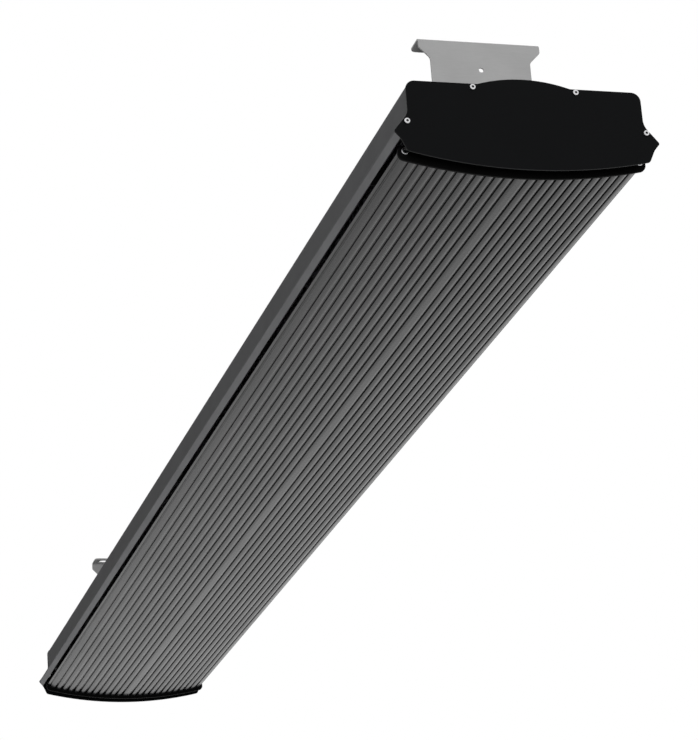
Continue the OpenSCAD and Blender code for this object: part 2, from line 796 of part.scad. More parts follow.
module panel_nuts() {
    color([0.7, 0.7, 0.72]) at_holds() difference() {
        hex_z(tray_top + seat_gap, tray_top + seat_gap + hold_nut_h, 0, 0, hold_nut_af);
        rod_z(tray_top - over, tray_top + hold_nut_h + over, 0, 0, hold_bolt_r + run_gap);
    }
}
module isolating_washers() {
    color([0.85, 0.8, 0.7]) at_holds() difference() {
        rod_z(-cross_drop - isolator_t, -cross_drop - seat_gap / 2, 0, 0, isolator_r);
        rod_z(-cross_drop - isolator_t - over, -cross_drop + over, 0, 0, hold_bolt_r + screw_gap);
    }
}
module reflector_tray() {
    color([0.82, 0.83, 0.84]) difference() {
        in_bar() difference() {
            box(-bar_length + tray_end, -tray_end, -tray_half, tray_half, tray_z, tray_top + tray_rim_h);
            box(-bar_length, 0, -tray_half + tray_t, tray_half - tray_t,
                tray_top, tray_top + tray_rim_h + over);
            for (side = [-1, 1]) rod_z(0, tray_top + over, bush_x, side * bush_y, bush_r + seat_gap);
            for (side = [-1, 1])
                rod_z(0, tray_top + over, block_x, side * (block_w + block_feet) / 2, fixing_r + run_gap);
            for (side = [-1, 1])
                rod_z(0, tray_top + over, cut_out_x, cut_out_y + side * cut_out_screw_y, fixing_r + run_gap);
        }
        at_holds() rod_z(0, tray_top + over, 0, 0, hold_bolt_r + screw_gap);
    }
}
module insulation_blanket() {
    color([0.93, 0.92, 0.88]) difference() {
        in_bar() box(room_x, -blanket_x, -blanket_half, blanket_half,
                     tray_top + seat_gap, tray_top + seat_gap + blanket_t);
        at_holds() rod_z(0, tray_top + blanket_t + over, 0, 0, pocket_r);
    }
}

// Connection room
block_top = block_z + block_h;
block_hole_z = block_z + block_hole_h;
pole_ys = [for (i = [0:poles - 1]) (i - (poles - 1) / 2) * pole_w];
module terminal_block() {
    color([0.92, 0.9, 0.85]) in_bar() difference() {
        union() {
            box(block_x - block_l / 2, block_x + block_l / 2, -block_w / 2, block_w / 2, block_z, block_top);
            box(block_x - block_l / 4, block_x + block_l / 4,
                -block_w / 2 - block_feet, block_w / 2 + block_feet, block_z, block_z + block_foot_h);
        }
        for (y = pole_ys) {
            rod_x(block_x - block_l, block_x + block_l, y, block_hole_z, block_hole_r);
            rod_z(block_hole_z, block_top + over, block_x, y, block_screw_r + screw_gap);
        }
        for (side = [-1, 1])
            rod_z(block_z - over, block_z + block_foot_h + over,
                  block_x, side * (block_w + block_feet) / 2, fixing_r + screw_gap);
    }
}
module terminal_screws() {
    color([0.72, 0.6, 0.3]) in_bar() for (y = pole_ys)
        translate([block_x, y, block_hole_z + block_hole_r]) difference() {
            rod_z(0, block_screw_h, 0, 0, block_screw_r);
            box(-block_screw_r, block_screw_r, -block_screw_slot / 2, block_screw_slot / 2,
                block_screw_h - block_screw_slot, block_screw_h + over);
        }
}
module fixing(z) {
    translate([0, 0, z]) rotate([0, -90, 0])
        socket_screw(fixing_r, fixing_l, fixing_head_r, fixing_head_h, small_socket_af, small_socket_d);
}
module block_fixings() {
    color([0.7, 0.7, 0.72]) in_bar() for (side = [-1, 1])
        translate([block_x, side * (block_w + block_feet) / 2, 0]) fixing(block_z + block_foot_h);
}
module thermal_cut_out() {
    color([0.15, 0.13, 0.12]) in_bar() translate([cut_out_x, cut_out_y, tray_top + seat_gap]) difference() {
        union() {
            box(-cut_out_flange_w / 2, cut_out_flange_w / 2, -cut_out_flange_l / 2, cut_out_flange_l / 2,
                0, cut_out_flange_t);
            rod_z(0, cut_out_h, 0, 0, cut_out_r);
        }
        for (side = [-1, 1])
            rod_z(-over, cut_out_flange_t + over, 0, side * cut_out_screw_y, fixing_r + screw_gap);
    }
}
module cut_out_tabs() {
    color([0.75, 0.65, 0.35]) in_bar() for (side = [-1, 1])
        translate([cut_out_x + side * tab_x, cut_out_y, tray_top + cut_out_h + 2 * seat_gap])
            box(-tab_t / 2, tab_t / 2, -tab_w / 2, tab_w / 2, 0, tab_l);
}
module cut_out_screws() {
    color([0.7, 0.7, 0.72]) in_bar() for (side = [-1, 1])
        translate([cut_out_x, cut_out_y + side * cut_out_screw_y, 0])
            fixing(tray_top + seat_gap + cut_out_flange_t);
}
module earth_stud() {
    color([0.72, 0.6, 0.3]) in_bar()
        rod_z(housing_under - stud_l, housing_under - seat_gap, stud_x, stud_y, stud_r);
}
tag_top = housing_under - 2 * seat_gap;
tag_lead_z = tag_top - tag_t - lead_r - screw_gap;
module earth_tag() {
    color([0.8, 0.8, 0.8]) in_bar() difference() {
        union() {
            rod_z(tag_top - tag_t, tag_top, stud_x, stud_y, tag_r);
            box(stud_x - tag_l, stud_x, stud_y - lead_r, stud_y + lead_r, tag_top - tag_t, tag_top);
        }
        rod_z(tag_top - tag_t - over, tag_top + over, stud_x, stud_y, stud_r + run_gap);
    }
}
module earth_nut() {
    nut_top = tag_top - tag_t - seat_gap;
    color([0.72, 0.6, 0.3]) in_bar() difference() {
        hex_z(nut_top - stud_nut_h, nut_top, stud_x, stud_y, stud_nut_af);
        rod_z(nut_top - stud_nut_h - over, nut_top + over, stud_x, stud_y, stud_r + run_gap);
    }
}
module lead_bushes() {
    color([0.93, 0.92, 0.88]) in_bar() for (side = [-1, 1])
        translate([bush_x, side * bush_y, 0]) difference() {
            union() {
                rod_z(tray_z - bush_drop, tray_top + bush_rise, 0, 0, bush_r);
                rod_z(tray_top + seat_gap, tray_top + bush_collar_h, 0, 0, bush_collar_r);
            }
            rod_z(tray_z - bush_drop - over, tray_top + bush_rise + over, 0, 0, lead_r + bush_gap);
        }
}

// Leads: a smooth line through points chosen by hand, swept by a ring of lead_sides points
function smooth_at(a, b, c, d, t) = 0.5 * (2 * b + (c - a) * t + (2 * a - 5 * b + 4 * c - d) * t * t
                                           + (3 * b - a - 3 * c + d) * t * t * t);
function smooth(p) = concat([for (i = [0:len(p) - 2]) for (k = [0:lead_steps - 1])
    smooth_at(p[max(i - 1, 0)], p[i], p[i + 1], p[min(i + 2, len(p) - 1)], k / lead_steps)], [p[len(p) - 1]]);
function tangent(p, i) = unit(p[min(i + 1, len(p) - 1)] - p[max(i - 1, 0)]);
function carried(n, t) = unit(n - (n * t) * t);
function normals(p, i, n) = i == len(p) ? [] :
    let (m = carried(n, tangent(p, i))) concat([m], normals(p, i + 1, m));
module lead(points) {
    p = smooth(points);
    n = normals(p, 0, [0, 1, 2]);
    rings = [for (i = [0:len(p) - 1]) for (k = [0:lead_sides - 1]) let (a = 360 * k / lead_sides)
        p[i] + lead_r * (cos(a) * n[i] + sin(a) * cross(tangent(p, i), n[i]))];
    walls = [for (i = [0:len(p) - 2]) for (k = [0:lead_sides - 1])
        let (a = i * lead_sides + k, b = i * lead_sides + (k + 1) % lead_sides)
        each [[a, b + lead_sides, b], [a, a + lead_sides, b + lead_sides]]];
    last = (len(p) - 1) * lead_sides;
    ends = [[for (k = [0:lead_sides - 1]) k], [for (k = [lead_sides - 1:-1:0]) last + k]];
    in_bar() polyhedron(points = rings, faces = concat(walls, ends));
}
block_side = block_x + block_l / 2;
tab_z = tray_top + cut_out_h + tab_l;
pin_x = -(bar_length - element_inset + pin_l);
link_x = -element_inset + pin_l;

// Routes of the leads: points chosen by hand between the pieces that hold the ends
live_route = [
    [block_side - lead_push, pole_ys[0], block_hole_z], [block_side + 4, pole_ys[0], block_hole_z],
    [block_side + 10, -22, 17], [cut_out_x + tab_x + 6, -38, 24], [cut_out_x + tab_x, -46, tab_z + 5],
    [cut_out_x + tab_x, cut_out_y, tab_z + 4], [cut_out_x + tab_x, cut_out_y, tab_z + tab_gap]
];
switched_route = [
    [cut_out_x - tab_x, cut_out_y, tab_z + tab_gap], [cut_out_x - tab_x, cut_out_y, tab_z + 4],
    [cut_out_x - tab_x - 8, -54, tab_z + 4], [block_x - 8, -46, 20], [bush_x - 2, -32, 16],
    [bush_x, -bush_y, 11], [bush_x, -bush_y, 4], [bush_x, -bush_y, -3], [bush_x - 2, -28, -8],
    [pin_x - 2, -35, -element_drop], [pin_x - 5, -element_y + 1, -element_drop],
    [pin_x - 3, -element_y, -element_drop], [pin_x - seat_gap, -element_y, -element_drop]
];
neutral_route = [
    [block_side - lead_push, pole_ys[2], block_hole_z], [block_side + 4, pole_ys[2], block_hole_z],
    [block_side + 9, 22, 15], [block_side, 33, 17], [block_x - 8, 36, 17], [bush_x - 2, 31, 15],
    [bush_x, bush_y, 11], [bush_x, bush_y, 4], [bush_x, bush_y, -3], [bush_x - 2, 28, -8],
    [pin_x - 2, 35, -element_drop], [pin_x - 5, element_y - 1, -element_drop],
    [pin_x - 3, element_y, -element_drop], [pin_x - seat_gap, element_y, -element_drop]
];
link_route = [
    [link_x + seat_gap, -element_y, -element_drop], [link_x + 2, -element_y, -element_drop],
    [link_x + 4, -element_y, -element_drop], [link_x + 8, -34, -element_drop],
    [link_x + 8, -18, -element_drop], [link_x + 8, 0, -element_drop], [link_x + 8, 18, -element_drop],
    [link_x + 8, 34, -element_drop], [link_x + 4, element_y, -element_drop],
    [link_x + 2, element_y, -element_drop], [link_x + seat_gap, element_y, -element_drop]
];
earth_route = [
    [block_side - lead_push, pole_ys[1], block_hole_z], [block_side + 4, pole_ys[1], block_hole_z],
    [block_side + 9, 7, 15], [block_side + 7, 20, 23], [stud_x - 20, 34, 26], [stud_x - 19, 45, 27],
    [stud_x - 16, 51, 30], [stud_x - 12, stud_y, tag_lead_z], [stud_x - 7, stud_y, tag_lead_z]
];
module live_lead() {
    color([0.45, 0.25, 0.12]) lead(live_route);
}
module switched_lead() {
    color([0.45, 0.25, 0.12]) lead(switched_route);
}
module neutral_lead() {
    color([0.2, 0.35, 0.6]) lead(neutral_route);
}
module link_lead() {
    color([0.3, 0.3, 0.3]) lead(link_route);
}
module earth_lead() {
    color([0.35, 0.6, 0.2]) lead(earth_route);
}

// Cable gland on the left end plate, along -X
module at_gland() {
    in_bar() translate([-bar_length, 0, gland_h]) rotate([0, 0, 180]) children();
}
module gland_body() {
    color([0.12, 0.12, 0.12]) at_gland() difference() {
        union() {
            rod_x(-plate_t - gland_thread_in, seat_gap, 0, 0, gland_r);
            hex_x(seat_gap, gland_collar_h, 0, 0, gland_collar_af);
            rod_x(gland_collar_h, gland_collar_h + gland_thread_out, 0, 0, gland_thread_r);
        }
        rod_x(-plate_t - gland_thread_in - over, gland_collar_h + gland_thread_out + over,
              0, 0, gland_passage_r);
    }
}
dome_face_x = gland_collar_h + dome_h - dome_face;
seal_x = dome_face_x - seal_l;
seal_end = dome_face_x - seat_gap;
module gland_dome_nut() {
    color([0.12, 0.12, 0.12]) at_gland() difference() {
        union() {
            hex_x(dome_start, gland_collar_h + dome_h / 2, 0, 0, dome_af);
            rod_x(gland_collar_h + dome_h / 2, gland_collar_h + dome_h, 0, 0, dome_af / 2);
        }
        rod_x(dome_start - over, dome_face_x, 0, 0, gland_thread_r + run_gap);
        rod_x(gland_collar_h, gland_collar_h + dome_h + over, 0, 0, dome_mouth_r);
    }
}
module gland_seal() {
    color([0.25, 0.25, 0.25]) at_gland() difference() {
        union() {
            rod_x(seal_x, seal_end, 0, 0, gland_passage_r - run_gap);
            rod_x(gland_collar_h + gland_thread_out + seat_gap, seal_end, 0, 0, gland_bore_r + seal_wall);
        }
        rod_x(seal_x - over, seal_end + over, 0, 0, gland_bore_r);
    }
}
module gland_locknut() {
    color([0.12, 0.12, 0.12]) at_gland() difference() {
        hex_x(-plate_t - locknut_h, -plate_t - seat_gap, 0, 0, locknut_af);
        rod_x(-plate_t - locknut_h - over, over, 0, 0, gland_r + run_gap);
    }
}

// Hangers and feet are drawn for the right end: x = 0 is the web's outer face, z = 0 the level of the
// tips, and the flange and foot reach towards -X
module at_right_hanger() {
    in_bar() translate([-right_setback, 0, 0]) children();
}
module at_left_hanger() {
    in_bar() translate([-bar_length + left_setback, 0, 0]) rotate([0, 0, 180]) children();
}
ear_low = tip_drop - ear_h - ear_slant_h;
web_half = [
    [waist_half, web_side_h, web_side_r], [waist_half, ear_low, waist_r],
    [hanger_w / 2, tip_drop - ear_h, ear_r], [hanger_w / 2, tip_drop + over, 0]
];
web_foot = [for (i = [1:web_foot_steps]) let (a = -90 + web_foot_angle * i / web_foot_steps)
    [web_foot_r * cos(a), pivot_h + web_foot_r * sin(a), 0]];
web_outline = rounded(both_sides(concat(web_foot, web_half)));
module arc_slot() {
    turns = [for (i = [0:arc_slot_steps]) -90 - tilt_max + 2 * tilt_max * i / arc_slot_steps];
    outer = [for (a = turns) (lock_arm + arc_slot_r) * [cos(a), sin(a)]];
    inner = [for (i = [arc_slot_steps:-1:0]) (lock_arm - arc_slot_r) * [cos(turns[i]), sin(turns[i])]];
    translate([0, 0, pivot_h]) along_x(-hanger_t - over, over) polygon(concat(outer, inner));
    for (a = [-90 - tilt_max, -90 + tilt_max])
        rod_x(-hanger_t - over, over, lock_arm * cos(a), pivot_h + lock_arm * sin(a), arc_slot_r);
}
module hanger_fold() {
    translate([0, hanger_w / 2, 0]) rotate([90, 0, 0]) linear_extrude(hanger_w)
        polygon(rounded([[0, pivot_h - web_foot_r - over, 0], [0, tip_drop, bend_out_r],
                         [-flange_d, tip_drop, 0], [-flange_d, tip_drop - hanger_t, 0],
                         [-hanger_t, tip_drop - hanger_t, bend_in_r],
                         [-hanger_t, pivot_h - web_foot_r - over, 0]]));
}
module flange_plan() {
    h = hanger_w / 2;
    translate([0, 0, pivot_h - web_foot_r - over]) linear_extrude(tip_drop)
        polygon(rounded([[over, -h, 0], [over, h, 0],
                         [-flange_d, h, flange_corner_r], [-flange_d, -h, flange_corner_r]]));
}
module ceiling_slot(y) {
    run = (ceiling_slot_l - ceiling_slot_w) / 2;
    z0 = tip_drop - hanger_t - over;
    z1 = tip_drop + over;
    for (dy = [-run, run]) rod_z(z0, z1, -slot_x, y + dy, ceiling_slot_w / 2);
    box(-slot_x - ceiling_slot_w / 2, -slot_x + ceiling_slot_w / 2, y - run, y + run, z0, z1);
}
module hanger_plate() {
    difference() {
        intersection() {
            hanger_fold();
            along_x(-flange_d - over, over) polygon(web_outline);
            flange_plan();
        }
        for (side = [-1, 1]) ceiling_slot(side * slot_y);
        rod_x(-hanger_t - over, over, 0, tip_drop - tether_drop, tether_r);
        rod_x(-hanger_t - over, over, 0, pivot_h, bolt_r + run_gap);
        arc_slot();
    }
}
foot_x = -hanger_t - web_gap;
module foot_bracket() {
    h = foot_w / 2;
    top = pivot_h + foot_up_r;
    difference() {
        intersection() {
            translate([foot_x, h, 0]) rotate([90, 0, 0]) linear_extrude(foot_w)
                polygon(rounded([[0, foot_z, foot_bend_out_r], [0, top, 0], [-foot_t, top, 0],
                                 [-foot_t, foot_z + foot_t, foot_bend_in_r], [-foot_l, foot_z + foot_t, 0],
                                 [-foot_l, foot_z, 0]]));
            along_x(-2 * foot_l, over)
                polygon(rounded([[-h, foot_z - over, 0], [h, foot_z - over, 0],
                                 [h, top, foot_up_r], [-h, top, foot_up_r]]));
            translate([foot_x, 0, 0]) linear_extrude(top + over)
                polygon(rounded([[over, -h, 0], [over, h, 0],
                                 [-foot_l, h, foot_corner_r], [-foot_l, -h, foot_corner_r]]));
        }
        rod_x(foot_x - foot_t - over, over, 0, pivot_h, bolt_r + screw_gap);
        rod_x(foot_x - foot_t - over, over, 0, pivot_h - lock_arm, lock_r + screw_gap);
        rod_z(foot_z - over, foot_z + foot_t + foot_bend_in_r, foot_x - rail_bolt_x, 0, bolt_r + screw_gap);
    }
}
foot_back = foot_x - foot_t;
module washer(r_hole) {
    difference() {
        rod_x(0, washer_t, 0, 0, washer_r);
        rod_x(-over, washer_t + over, 0, 0, r_hole);
    }
}
pivot_head_x = web_gap + washer_t + seat_gap;
module pivot_bolt() {
    translate([0, 0, pivot_h]) {
        rod_x(foot_back - washer_t - bolt_nut_h - bolt_tail, pivot_head_x, 0, 0, bolt_r);
        hex_x(pivot_head_x, pivot_head_x + bolt_head_h, 0, 0, bolt_head_af);
    }
}
module pivot_nut() {
    x1 = foot_back - washer_t - 2 * seat_gap;
    translate([0, 0, pivot_h]) difference() {
        hex_x(x1 - bolt_nut_h, x1, 0, 0, bolt_head_af);
        rod_x(x1 - bolt_nut_h - over, x1 + over, 0, 0, bolt_r + run_gap);
    }
}
module lock_bolt() {
    translate([0, 0, pivot_h - lock_arm]) {
        rod_x(foot_back - lock_nut_h - bolt_tail, web_gap, 0, 0, lock_r);
        hex_x(web_gap, web_gap + lock_head_h, 0, 0, lock_head_af);
    }
}
module lock_nut() {
    x1 = foot_back - seat_gap;
    translate([0, 0, pivot_h - lock_arm]) difference() {
        hex_x(x1 - lock_nut_h, x1, 0, 0, lock_head_af);
        rod_x(x1 - lock_nut_h - over, x1 + over, 0, 0, lock_r + run_gap);
    }
}
rail_head_top = lip_channel_top - slide_gap;
module rail_bolt() {
    translate([foot_x - rail_bolt_x, 0, 0]) {
        box(-rail_head_w / 2, rail_head_w / 2, -rail_head_w / 2, rail_head_w / 2,
            rail_head_top - rail_head_h, rail_head_top);
        rod_z(rail_head_top - rail_head_h / 2, foot_z + foot_t + rail_bolt_top, 0, 0, bolt_r);
    }
}
module rail_nut() {
    z0 = foot_z + foot_t + washer_t + 2 * seat_gap;
    translate([foot_x - rail_bolt_x, 0, 0]) difference() {
        hex_z(z0, z0 + bolt_nut_h, 0, 0, bolt_head_af);
        rod_z(z0 - over, z0 + bolt_nut_h + over, 0, 0, bolt_r + run_gap);
    }
}
module washers() {
    translate([web_gap, 0, pivot_h]) washer(bolt_r + screw_gap);
    translate([foot_back - seat_gap - washer_t, 0, pivot_h]) washer(bolt_r + screw_gap);
    translate([foot_x - rail_bolt_x, 0, foot_z + foot_t + seat_gap]) rotate([0, -90, 0])
        washer(bolt_r + screw_gap);
}

module right_hanger_plate() {
    color([0.6, 0.6, 0.61]) at_right_hanger() hanger_plate();
}
module right_foot_bracket() {
    color([0.55, 0.55, 0.56]) at_right_hanger() foot_bracket();
}
module right_pivot_bolt() {
    color([0.7, 0.7, 0.72]) at_right_hanger() pivot_bolt();
}
module right_pivot_nut() {
    color([0.7, 0.7, 0.72]) at_right_hanger() pivot_nut();
}
module right_lock_bolt() {
    color([0.7, 0.7, 0.72]) at_right_hanger() lock_bolt();
}
module right_lock_nut() {
    color([0.7, 0.7, 0.72]) at_right_hanger() lock_nut();
}
module right_rail_bolt() {
    color([0.7, 0.7, 0.72]) at_right_hanger() rail_bolt();
}
module right_rail_nut() {
    color([0.7, 0.7, 0.72]) at_right_hanger() rail_nut();
}
module right_washers() {
    color([0.72, 0.72, 0.74]) at_right_hanger() washers();
}
module left_hanger_plate() {
    color([0.6, 0.6, 0.61]) at_left_hanger() hanger_plate();
}
module left_foot_bracket() {
    color([0.55, 0.55, 0.56]) at_left_hanger() foot_bracket();
}
module left_pivot_bolt() {
    color([0.7, 0.7, 0.72]) at_left_hanger() pivot_bolt();
}
module left_pivot_nut() {
    color([0.7, 0.7, 0.72]) at_left_hanger() pivot_nut();
}
module left_lock_bolt() {
    color([0.7, 0.7, 0.72]) at_left_hanger() lock_bolt();
}
module left_lock_nut() {
    color([0.7, 0.7, 0.72]) at_left_hanger() lock_nut();
}
module left_rail_bolt() {
    color([0.7, 0.7, 0.72]) at_left_hanger() rail_bolt();
}
module left_rail_nut() {
    color([0.7, 0.7, 0.72]) at_left_hanger() rail_nut();
}
module left_washers() {
    color([0.72, 0.72, 0.74]) at_left_hanger() washers();
}

housing();
right_end_plate();
left_end_plate();
right_plate_screws();
left_plate_screws();
radiant_panel();
right_panel_cap();
left_panel_cap();
right_cap_screws();
left_cap_screws();
front_element();
rear_element();
element_pins();
element_beads();
element_clamps();
clamp_screws();
cross_bars();
panel_bolts();
panel_nuts();
isolating_washers();
reflector_tray();
insulation_blanket();
terminal_block();
terminal_screws();
block_fixings();
thermal_cut_out();
cut_out_tabs();
cut_out_screws();
earth_stud();
earth_nut();
earth_tag();
lead_bushes();
live_lead();
switched_lead();
neutral_lead();
link_lead();
earth_lead();
gland_body();
gland_dome_nut();
gland_seal();
gland_locknut();
right_hanger_plate();
right_foot_bracket();
right_pivot_bolt();
right_pivot_nut();
right_lock_bolt();
right_lock_nut();
right_rail_bolt();
right_rail_nut();
right_washers();
left_hanger_plate();
left_foot_bracket();
left_pivot_bolt();
left_pivot_nut();
left_lock_bolt();
left_lock_nut();
left_rail_bolt();
left_rail_nut();
left_washers();
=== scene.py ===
"""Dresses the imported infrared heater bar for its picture.

The bar hangs from two ceiling hangers. X runs along it towards its right end, Y across it and Z up,
in metres. The origin lies midway between the right hanger's two ceiling slots.
"""

import logging
import math
from collections.abc import Callable, Iterator, Mapping, Sequence
from contextlib import contextmanager
from dataclasses import dataclass
from enum import Enum

import bmesh
import bpy
from mathutils import Matrix, Vector


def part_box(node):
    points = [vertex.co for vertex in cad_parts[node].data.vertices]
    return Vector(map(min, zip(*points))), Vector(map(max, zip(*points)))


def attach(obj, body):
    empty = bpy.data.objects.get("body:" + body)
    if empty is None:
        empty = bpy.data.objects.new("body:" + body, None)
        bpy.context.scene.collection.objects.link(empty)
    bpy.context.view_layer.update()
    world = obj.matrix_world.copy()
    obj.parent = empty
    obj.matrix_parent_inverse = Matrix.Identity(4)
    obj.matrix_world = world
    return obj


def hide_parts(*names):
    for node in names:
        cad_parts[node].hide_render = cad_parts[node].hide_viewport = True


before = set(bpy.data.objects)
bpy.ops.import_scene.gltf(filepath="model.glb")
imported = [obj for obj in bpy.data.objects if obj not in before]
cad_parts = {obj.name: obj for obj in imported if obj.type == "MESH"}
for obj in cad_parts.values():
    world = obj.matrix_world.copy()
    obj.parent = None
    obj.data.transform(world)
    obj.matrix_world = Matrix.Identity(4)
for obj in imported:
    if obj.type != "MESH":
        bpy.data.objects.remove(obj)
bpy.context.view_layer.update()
LOG = logging.getLogger("heater_bar")

Colour = tuple[float, float, float]
Point = tuple[float, float, float]
Pair = tuple[float, float]
Piece = bpy.types.Object
EditMesh = bmesh.types.BMesh
MM = 0.001
TINY = 2e-6  # points that are closer are merged
FLAT = math.radians(0.6)  # neighbouring faces that turn less are merged
UPWARD = 0.9  # a face whose normal rises more than this faces up
SMOOTH_MORE = 8  # degrees that smooth shading reaches further than rounding
ROUND = 40  # sides of a round shape
TURN = 20  # facets of a thread's turn
THREAD_DEPTH = 0.55  # in pitches
CORNER_SLOPE = math.tan(math.radians(30))  # of a bolt head's chamfer
CORNER_RIM = 0.475  # radius where that chamfer starts, in widths across flats
# attribute that marks the socket faces where the screw finish paints shade
RECESS = "recess"
X_AXIS, Y_AXIS, Z_AXIS = Vector((1, 0, 0)), Vector((0, 1, 0)), Vector((0, 0, 1))


# ---------------------------------------------------------------- shader kit


class Wire:
    """An output of a node. Sums written with it add Math nodes."""

    def __init__(self, graph: "Graph", socket: bpy.types.NodeSocket) -> None:
        """Wraps an output socket of a node in a graph."""
        self.graph = graph
        self.socket = socket

    def __add__(self, other: "Value") -> "Wire":
        """Returns self + other."""
        return self.graph.maths("ADD", self, other)

    def __radd__(self, other: "Value") -> "Wire":
        """Returns other + self."""
        return self.graph.maths("ADD", other, self)

    def __sub__(self, other: "Value") -> "Wire":
        """Returns self - other."""
        return self.graph.maths("SUBTRACT", self, other)

    def __rsub__(self, other: "Value") -> "Wire":
        """Returns other - self."""
        return self.graph.maths("SUBTRACT", other, self)

    def __mul__(self, other: "Value") -> "Wire":
        """Returns self * other."""
        return self.graph.maths("MULTIPLY", self, other)

    def __rmul__(self, other: "Value") -> "Wire":
        """Returns other * self."""
        return self.graph.maths("MULTIPLY", other, self)

    def over(self, low: float, high: float) -> "Wire":
        """Returns the wire with low becoming 0 and high becoming 1, held within those ends."""
        inputs = {"Value": self, "From Min": low, "From Max": high}
        return self.graph.node("ShaderNodeMapRange", {"clamp": True}, inputs)


Value = float | Wire
Socket = float | Sequence[float] | Wire


class Graph:
    """The node tree of a material or the world, and the ways to add to it."""

    MIX_FACTOR, MIX_A, MIX_B, MIX_RESULT = 0, 6, 7, 2

    def __init__(self, tree: bpy.types.NodeTree) -> None:
        """Empties a tree and keeps it."""
        self.tree = tree
        tree.nodes.clear()

    def node(self, kind: str, settings: Mapping[str, object] | None = None,
             inputs: Mapping[str | int, Socket] | None = None, output: str | int = 0) -> Wire:
        """Adds a node.

        Args:
            kind: The node's type.
            settings: Its own settings, set before its sockets.
            inputs: Values or wires for its sockets, by name or number.
            output: The output that is returned.

        Returns:
            One of the node's outputs.
        """
        node = self.tree.nodes.new(kind)
        for name, value in (settings or {}).items():
            setattr(node, name, value)
        for name, value in (inputs or {}).items():
            socket = node.inputs[name]
            if isinstance(value, Wire):
                self.tree.links.new(value.socket, socket)
            elif isinstance(value, (int, float)):
                socket.default_value = value
            else:
                socket.default_value = (*value, 1.0) if len(socket.default_value) > len(value) else value
        if not node.outputs:
            return Wire(self, node.inputs[0])
        return Wire(self, node.outputs[output])

    def maths(self, operation: str, a: Value, b: Value) -> Wire:
        """Adds a Math node with two inputs and returns its output."""
        return self.node("ShaderNodeMath", {"operation": operation}, {0: a, 1: b})

    def blend(self, factor: Value, a: Colour | Wire, b: Colour | Wire) -> Wire:
        """Returns a mix of two colours, where a factor of 1 gives the second."""
        inputs = {self.MIX_FACTOR: factor, self.MIX_A: a, self.MIX_B: b}
        return self.node("ShaderNodeMix", {"data_type": "RGBA"}, inputs, self.MIX_RESULT)

    def place(self, stretch: Point = (1, 1, 1)) -> Wire:
        """Returns the piece's own coordinates, with each axis multiplied by stretch."""
        own = self.node("ShaderNodeTexCoord", output="Object")
        return self.node("ShaderNodeMapping", {"vector_type": "POINT"}, {"Vector": own, "Scale": stretch})

    def noise(self, size: float, detail: float = 2.0, stretch: Point = (1, 1, 1)) -> Wire:
        """Returns a noise with spots of a size, finer where stretched, mostly from 0.3 to 0.7."""
        inputs = {"Vector": self.place(stretch), "Scale": 1 / size, "Detail": detail}
        return self.node("ShaderNodeTexNoise", {"noise_dimensions": "3D"}, inputs)

    def patches(self, size: float, detail: float = 3.0, stretch: Point = (1, 1, 1),
                ends: Pair = (0.3, 0.7)) -> Wire:
        """Returns a noise whose values from one end to the other become 0 to 1."""
        return self.noise(size, detail, stretch).over(*ends)

    def cells(self, size: float, stretch: Point = (1, 1, 1)) -> Wire:
        """Returns the distance to the middle of the nearest cell, in cells of a size."""
        inputs = {"Vector": self.place(stretch), "Scale": 1 / size}
        return self.node("ShaderNodeTexVoronoi", {"feature": "F1"}, inputs, "Distance")


@dataclass
class Surface:
    """What varies over a finish: its colour, roughness, and height in metres."""

    colour: Colour | Wire
    roughness: Value
    height: Wire


@dataclass(frozen=True)
class Finish:
    """A finish. Subclasses say how it varies over a piece."""

    slot: str
    colour: Colour
    roughness: float
    metallic: float = 0.0
    specular: float = 0.5
    swings: tuple[float, ...] = ()

    def rough(self, *wires: Wire) -> Wire:
        """Returns the roughness plus each wire times its swing."""
        total = self.roughness
        for wire, swing in zip(wires, self.swings):
            total = total + wire * swing
        return total

    def between(self, graph: Graph, factor: Value, low: float, high: float) -> Wire:
        """Returns a mix of two tints of the finish's colour, from low to high."""
        return graph.blend(factor, shade(self.colour, low), shade(self.colour, high))

    def surface(self, graph: Graph) -> Surface:
        """Returns what varies over the finish."""
        raise NotImplementedError

    def material(self) -> bpy.types.Material:
        """Returns the finish's material, made on first use."""
        found = bpy.data.materials.get(self.slot + "_finish")
        if found is not None:
            return found
        material = bpy.data.materials.new(self.slot + "_finish")
        material.use_nodes = True
        graph = Graph(material.node_tree)
        surface = self.surface(graph)
        relief = {"Height": surface.height, "Strength": 1.0, "Distance": 1.0}
        shader = graph.node("ShaderNodeBsdfPrincipled", {}, {
            "Base Color": surface.colour, "Roughness": surface.roughness, "Metallic": self.metallic,
            "Specular IOR Level": self.specular, "Normal": graph.node("ShaderNodeBump", {}, relief)})
        graph.node("ShaderNodeOutputMaterial", {}, {"Surface": shader})
        material.diffuse_color = (*self.colour, 1.0)
        return material


def shade(colour: Colour, factor: float) -> Colour:
    """Returns a colour made darker or lighter by a factor."""
    return tuple(min(1.0, channel * factor) for channel in colour)


@dataclass(frozen=True)
class PowderCoat(Finish):
    """Baked powder coat: a fine orange peel, slight clouds, and a few dull rubbed patches."""

    peel: float = 1.6 * MM
    peel_depth: float = 0.012 * MM
    cloud: float = 45 * MM
    cloud_share: float = 0.09
    rub_share: float = 0.2
    rub_tint: float = 1.5
    swings: Point = (0.06, 0.05, 0.08)

    def surface(self, graph: Graph) -> Surface:
        """Returns what varies over the finish."""
        cloud = graph.patches(self.cloud)
        peel = graph.noise(self.peel)
        grit = graph.noise(self.peel / 5, detail=1)
        rub = graph.patches(self.cloud / 3, detail=4, stretch=(0.35, 1, 1), ends=(0.55, 0.75))
        base = self.between(graph, cloud, 1 - self.cloud_share, 1 + self.cloud_share)
        colour = graph.blend(rub * self.rub_share, base, shade(self.colour, self.rub_tint))
        roughness = self.rough(cloud - 0.5, rub, grit - 0.5)
        return Surface(colour, roughness, peel * self.peel_depth + grit * (self.peel_depth / 5))


